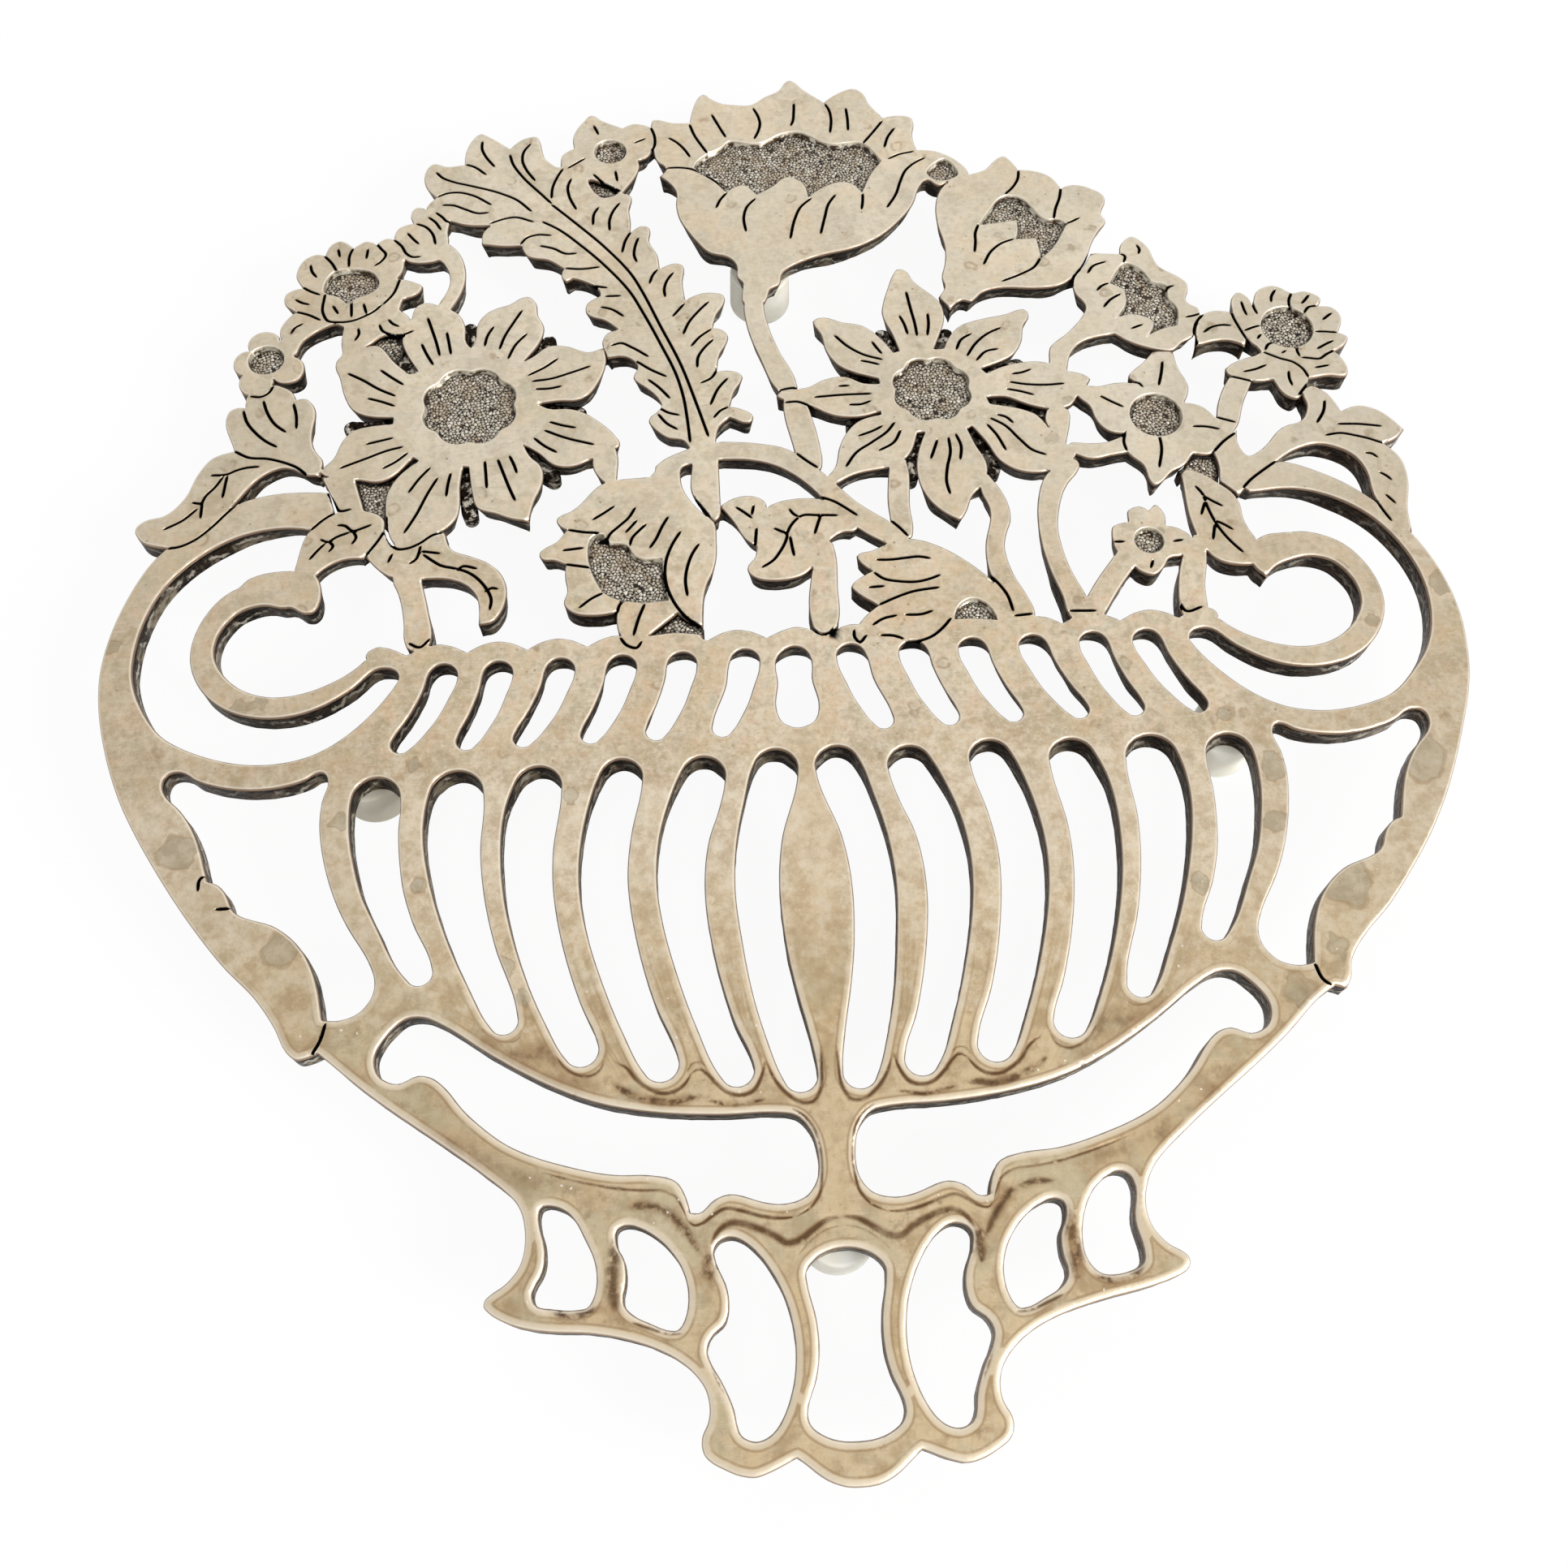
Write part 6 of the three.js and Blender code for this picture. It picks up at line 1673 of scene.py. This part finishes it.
def urnCoats(w, v):
    # The urn's warmer body, browner and mossy inside its paler border, partly tarnish and partly
    # painted shade and highlight that give the border a rounded, pillowed look, dried drops, then its
    # low lines and patches
    v.lower = 1 - v.y.step(-62, -30)
    warmth = v.urn * 0.14 + (1 - v.y.step(-42, 6)) * 0.25 + v.lower * 0.2
    warmth = warmth * (0.3 + v.clouds.step(0.34, 0.58) * 0.7)
    v.coat(warmth, "warm")
    v.coat((1 - v.y.step(-26, -18)) * (1 - v.lower) * 0.4, "pale")
    v.coat(v.lower * 0.35, "gold")
    v.coat(v.stains.step(0.47, 0.62) * (v.bowlOnly * 0.4 + v.lower * 0.15), "stain")
    v.coat((1 - v.stains.step(0.38, 0.5)) * v.bowlOnly * 0.22, "wearAndHighlight")
    drop = w.mask("drop") * (0.75 + v.patch * 0.5)
    v.coat(drop.step(0.2, 0.3) * (0.35 + v.hue.step(0.4, 0.6) * 0.3), "dull")
    v.coat(drop.step(0.13, 0.2) * (1 - drop.step(0.24, 0.34)) * 0.4, "rust")
    # browner inside the border: tarnish and painted shade together
    inside = v.urn * v.edge.step(0.7, 1.3)
    v.coat(abs(v.rib).step(60, 68) * 0.2, "olive")
    v.coat(inside * v.patch.step(0.44, 0.66) * (0.12 + v.lower * 0.3), "rust")
    v.coat(inside * (1 - v.clouds.step(0.4, 0.5)) * (0.15 + v.lower * 0.25), "moss")
    v.coat(inside * v.lower * v.hue.step(0.54, 0.72) * 0.5, "brown")
    # the paler border: wear and painted highlight on its rounded edge
    v.coat(v.urn * (1 - v.edge.step(0.5, 1.0)) * (0.25 + v.lower * 0.1), "wearAndHighlight")
    v.coat(v.urn * (1 - v.edge.step(0.8, 1.2)) * v.lower * 0.3, "pale")
    cloudy = v.patch.step(0.34, 0.56) * 0.6 + 0.4
    # a brown line along the border's inner edge, partly painted shade
    lined = (1 - (abs(v.edge - 1.08) / 0.24).step(0.2, 1.0)) * v.clouds.step(0.36, 0.5)
    v.coat(lined * v.urn * v.lower * 0.5, "rust")
    v.coat(v.stained * cloudy * 0.8, "rust")
    v.coat(v.stained.step(0.3, 0.9) * v.tone.step(0.43, 0.56) * 0.9, "brown")
    v.coat(v.stained.step(0.6, 1.0) * v.fine.step(0.5, 0.6) * 0.5, "umber")
    v.coat(v.line.step(0.05, 0.6) * cloudy * 0.7, "rust")
    v.coat(v.line.step(0.35, 0.85) * cloudy, "brown")
    dust = 1 - w.cells(v.turned, 2.7 * mm).step(0.035, 0.075)
    v.coat(dust * (0.25 + v.lower * 0.6), "wearAndHighlight")


def edgeCoats(v):
    # darker beside the engraved lines; on each edge a patchy pale line, partly wear and partly painted
    # highlight, with painted highlight on the pockets' lips, then a thin brown rim of painted shade
    v.coat((1 - v.near.step(0.12, 0.45)) * 0.35, "olive")
    # painted highlight on the lip round each pocket
    lip = (1 - abs(v.pocket).step(0.05, 0.3)) * v.pocket.step(-0.04, 0.02)
    wearAndHighlight = (1 - v.edge.step(0.22, 0.5)) * (0.3 + v.fine * 0.75)
    wearAndHighlight = wearAndHighlight.maths("MAXIMUM", wearAndHighlight, lip)
    v.coat(wearAndHighlight * 0.8, "wearAndHighlight")
    # painted shade: a thin brown rim right on the rounded edge
    v.coat((1 - v.edge.step(0.06, 0.22)) * 0.85, "paintedEdgeShade")


def wallCoats(w, v):
    # Walls brown black and glossy, with painted glints in bright wavy lines and on the webs, and
    # painted light on the walls that face the lamp; a plain dull underside, the bottoms of the pockets,
    # and the black of the engraving
    v.dark = v.wall.step(0.02, 0.3)
    sway = w.noise(w.place((1, 1, 0.3)), 3.5 * mm, 4, 0.6, 12.0)
    v.lumps = w.noise(w.place((1, 1, 1.6)), 1.3 * mm, 3, 0.6, 19.0)
    lit = w.mask("lit").step(0.2, 0.8)
    # painted glints: bright wavy lines along the walls, most where they face the lamp, and on the webs'
    # lumps
    paintedGlint = (1 - (abs(v.z - 6.2 - sway * 8) / 0.6).step(0.3, 1.0)) * v.tone.step(0.44, 0.54)
    paintedGlint = paintedGlint * (0.2 + lit * 0.8)
    paintedGlint = paintedGlint.maths("MAXIMUM", paintedGlint, w.mask("web") * v.lumps.step(0.5, 0.6))
    oxide = v.lumps.step(0.44, 0.66).mix(silver["oxide"], silver["umber"])
    # painted light on the walls that face the lamp: paler and mottled, less of it deep in the rim's
    # slots, higher up on the arcs
    deep = v.y.step(-19, -17) * (1 - v.y.step(-6, -1)) * 0.6
    arcs = v.y.step(-26, -24) * (1 - v.y.step(-19, -17))
    paintedWallLight = lit * (1 - v.z.step(10.2 + arcs * 0.8, 11.4)) * sway.step(0.44 - arcs * 0.06, 0.56)
    paintedWallLight = paintedWallLight * (1 - deep)
    paintedLitWall = v.lumps.step(0.36, 0.6).mix(silver["paintedWallLightDim"], silver["paintedWallLight"])
    # the walls' oxide with the painted light and the painted glints laid over it
    oxide = (paintedWallLight * 0.7).mix(oxide, paintedLitWall)
    oxide = (paintedGlint * 0.9).mix(oxide, silver["glint"])
    v.under = 1 - v.z.step(8.3, 8.34)
    plain = v.lumps.step(0.42, 0.6).mix(silver["olive"], silver["dull"])
    oxide = v.under.mix(oxide, plain)
    v.shade = v.dark.mix(v.shade, oxide)
    sunk = (1 - v.pocket.step(-0.1, 0.0)) * (1 - v.dark)
    bottom = v.lumps.step(0.42, 0.58).mix(silver["umber"], silver["grey"])
    v.shade = sunk.mix(v.shade, bottom)
    v.ink = v.groove.step(0.03, 0.32)
    v.coat(v.ink, "ink")


def silverFinish():
    # Tarnished silver. metal = 0.72 + 0.26 (ink + dark) - 0.2 streaks, and the roughness is
    # 0.37 + 0.16 fine + 0.1 stained + 0.2 ink - 0.06 dark.
    made, w = newMaterial("tarnished_silver")
    v = Values(w)
    bodyCoats(w, v)
    streakCoats(w, v)
    urnCoats(w, v)
    edgeCoats(v)
    wallCoats(w, v)
    rough = 0.37 + v.fine * 0.16 + v.stained * 0.1 + v.ink * 0.2 - v.dark * 0.06
    metal = 0.72 + (v.ink + v.dark) * 0.26 - v.streaks * 0.2
    relief = v.fine * 0.6 + v.grain * 0.25 + v.brushed * v.bowl * 0.6
    rolling = w.bump(v.slow + v.patch * 0.6 + v.lumps * v.dark * (4 - v.under * 3), 0.4 * mm, 0.4)
    finishMaterial(w, {
        "Base Color": v.shade,
        "Metallic": metal,
        "Roughness": rough,
        "Normal": w.bump(relief, 0.025 * mm, 0.55, rolling),
    })
    return made


def floorFinish():
    # The same silver in sunk floors: bright worn grains with dark creases between them, darker
    # round the floor's edge
    made, w = newMaterial("stippled_silver")
    at = w.place()
    grain, number, wall, edge = w.mask("grain"), w.mask("number"), w.mask("wall"), w.mask("edge")
    patch, fine = w.noise(at, 4 * mm, 4, 0.6, 8.0), w.noise(at, 0.3 * mm, 3, 0.6, 2.0)
    top = number.mix(colour(176, 162, 140), colour(242, 235, 220))
    top = (patch.step(0.46, 0.62) * 0.4).mix(top, colour(178, 154, 124))
    crease = patch.step(0.4, 0.65).mix(colour(36, 30, 25), colour(70, 56, 42))
    shade = (grain + fine * 0.3 - 0.15).step(0.2, 0.8).mix(crease, top)
    shade = (edge.step(1.2, 5) * 0.5).mix(shade, colour(216, 198, 180))
    shade = ((1 - edge.step(0.2, 1.0)) * 0.85).mix(shade, silver["oxide"])
    shade = wall.step(0.02, 0.4).mix(shade, silver["oxide"])
    finishMaterial(w, {
        "Base Color": shade,
        "Metallic": 0.62,
        "Roughness": 0.3 + fine * 0.2,
        "Normal": w.bump(fine, 0.03 * mm, 0.6),
    })
    return made


def vinylFinish():
    # Soft pale vinyl, cloudy and a little translucent, with dust and faint moulding marks; each cap is
    # darkened by its share of painted shade for the plate's shadow over it, and all glow faintly, a
    # painted light
    made, w = newMaterial("clear_vinyl")
    at = w.place()
    cloud, dust = w.noise(at, 3 * mm, 4, 0.6), w.noise(at, 0.5 * mm, 3, 0.6, 2.0)
    shade = cloud.step(0.35, 0.7).mix(colour(250, 249, 240), colour(238, 235, 222))
    shade = (dust.step(0.6, 0.78) * 0.3).mix(shade, colour(214, 206, 188))
    # painted shade, for the plate's shadow over each cap
    paintedCapShade = w.mask("paintedCapShade")
    shade = (paintedCapShade * 0.9).mix(shade, colour(164, 154, 128))
    finishMaterial(w, {
        "Base Color": shade,
        "Roughness": 0.34 + dust * 0.2,
        "IOR": 1.5,
        "Transmission Weight": 0.06,
        "Subsurface Weight": 0.4,
        # a faint glow, painted light that brightens the caps in the plate's shade
        "Emission Color": shade,
        "Emission Strength": 0.16,
        "Subsurface Radius": (1, 1, 0.9),
        "Subsurface Scale": 1.5 * mm,
        "Normal": w.bump(cloud + dust * 0.3, 0.05 * mm, 0.5),
    })
    return made


silverMade, floorMade, vinylMade = silverFinish(), floorFinish(), vinylFinish()
pierced.data.materials.append(silverMade)
stippled.data.materials.append(floorMade)
petalWebs.data.materials.append(silverMade)
for piece in caps:
    piece.data.materials.append(vinylMade)
print("finishes")


# Table, light and camera

setting = {
    "tableHalf": 2.0,
    "table": colour(250, 250, 250),
    "backdrop": colour(255, 255, 255),
    "backdropShare": 0.93,
    "sky": 0.68,
    "keyAt": (0.85, -0.6, 0.62),
    "keySize": 0.6,
    "keyWatts": 12.0,
    "fillAt": (0.1, 1.25, 1.0),
    "fillSize": 1.7,
    "fillWatts": 2.2,
}

size = setting["tableHalf"]
tableMesh = bpy.data.meshes.new("table")
corners = [(x * size, y * size, 0) for x, y in ((-1, -1), (1, -1), (1, 1), (-1, 1))]
tableMesh.from_pydata(corners, [], [(0, 1, 2, 3)])
table = bpy.data.objects.new("table", tableMesh)
bpy.context.scene.collection.objects.link(table)
tableMade, w = newMaterial("pale_table")
cloth = w.node("ShaderNodeBsdfDiffuse", {"Color": setting["table"], "Roughness": 0.5})
glow = w.node("ShaderNodeEmission", {"Color": setting["backdrop"], "Strength": 1.0})
seen = w.node("ShaderNodeLightPath", out="Is Camera Ray") * setting["backdropShare"]
toOutput(w, w.node("ShaderNodeMixShader", {0: seen, 1: cloth, 2: glow}))
table.data.materials.append(tableMade)


def addLight(name, at, size, watts):
    # a round lamp that faces the middle of the part
    made = bpy.data.lights.new(name, "AREA")
    made.shape, made.size, made.energy = "DISK", size, watts
    lamp = bpy.data.objects.new(name, made)
    bpy.context.scene.collection.objects.link(lamp)
    lamp.location = at
    lamp.rotation_mode = "QUATERNION"
    lamp.rotation_quaternion = lamp.location.to_track_quat("Z", "Y")


addLight("key", setting["keyAt"], setting["keySize"], setting["keyWatts"])
addLight("fill", setting["fillAt"], setting["fillSize"], setting["fillWatts"])
world = bpy.data.worlds.new("studio")
bpy.context.scene.world = world
world.use_nodes = True
sky = world.node_tree.nodes["Background"]
sky.inputs["Color"].default_value = (1, 1, 1, 1)
# white behind the table, softer as a light
w = Wire(world.node_tree)
strength = w.node("ShaderNodeLightPath", out="Is Camera Ray") * (1 - setting["sky"]) + setting["sky"]
world.node_tree.links.new(strength.socket, sky.inputs["Strength"])
bpy.context.scene.view_settings.view_transform = "Standard"

view = {
    "at": (-0.010967, -0.117408, 0.212271),
    "turn": (24.9988, -0.7073, -3.6723),
    "lens": 35.40,
    "sensor": 36.0,
    "nearest": 0.01,
}
cameraData = bpy.data.cameras.new("camera")
cameraData.lens, cameraData.sensor_width = view["lens"], view["sensor"]
cameraData.clip_start = view["nearest"]
camera = bpy.data.objects.new("camera", cameraData)
bpy.context.scene.collection.objects.link(camera)
camera.location = view["at"]
camera.rotation_euler = Euler([math.radians(a) for a in view["turn"]], "XYZ")
bpy.context.scene.camera = camera
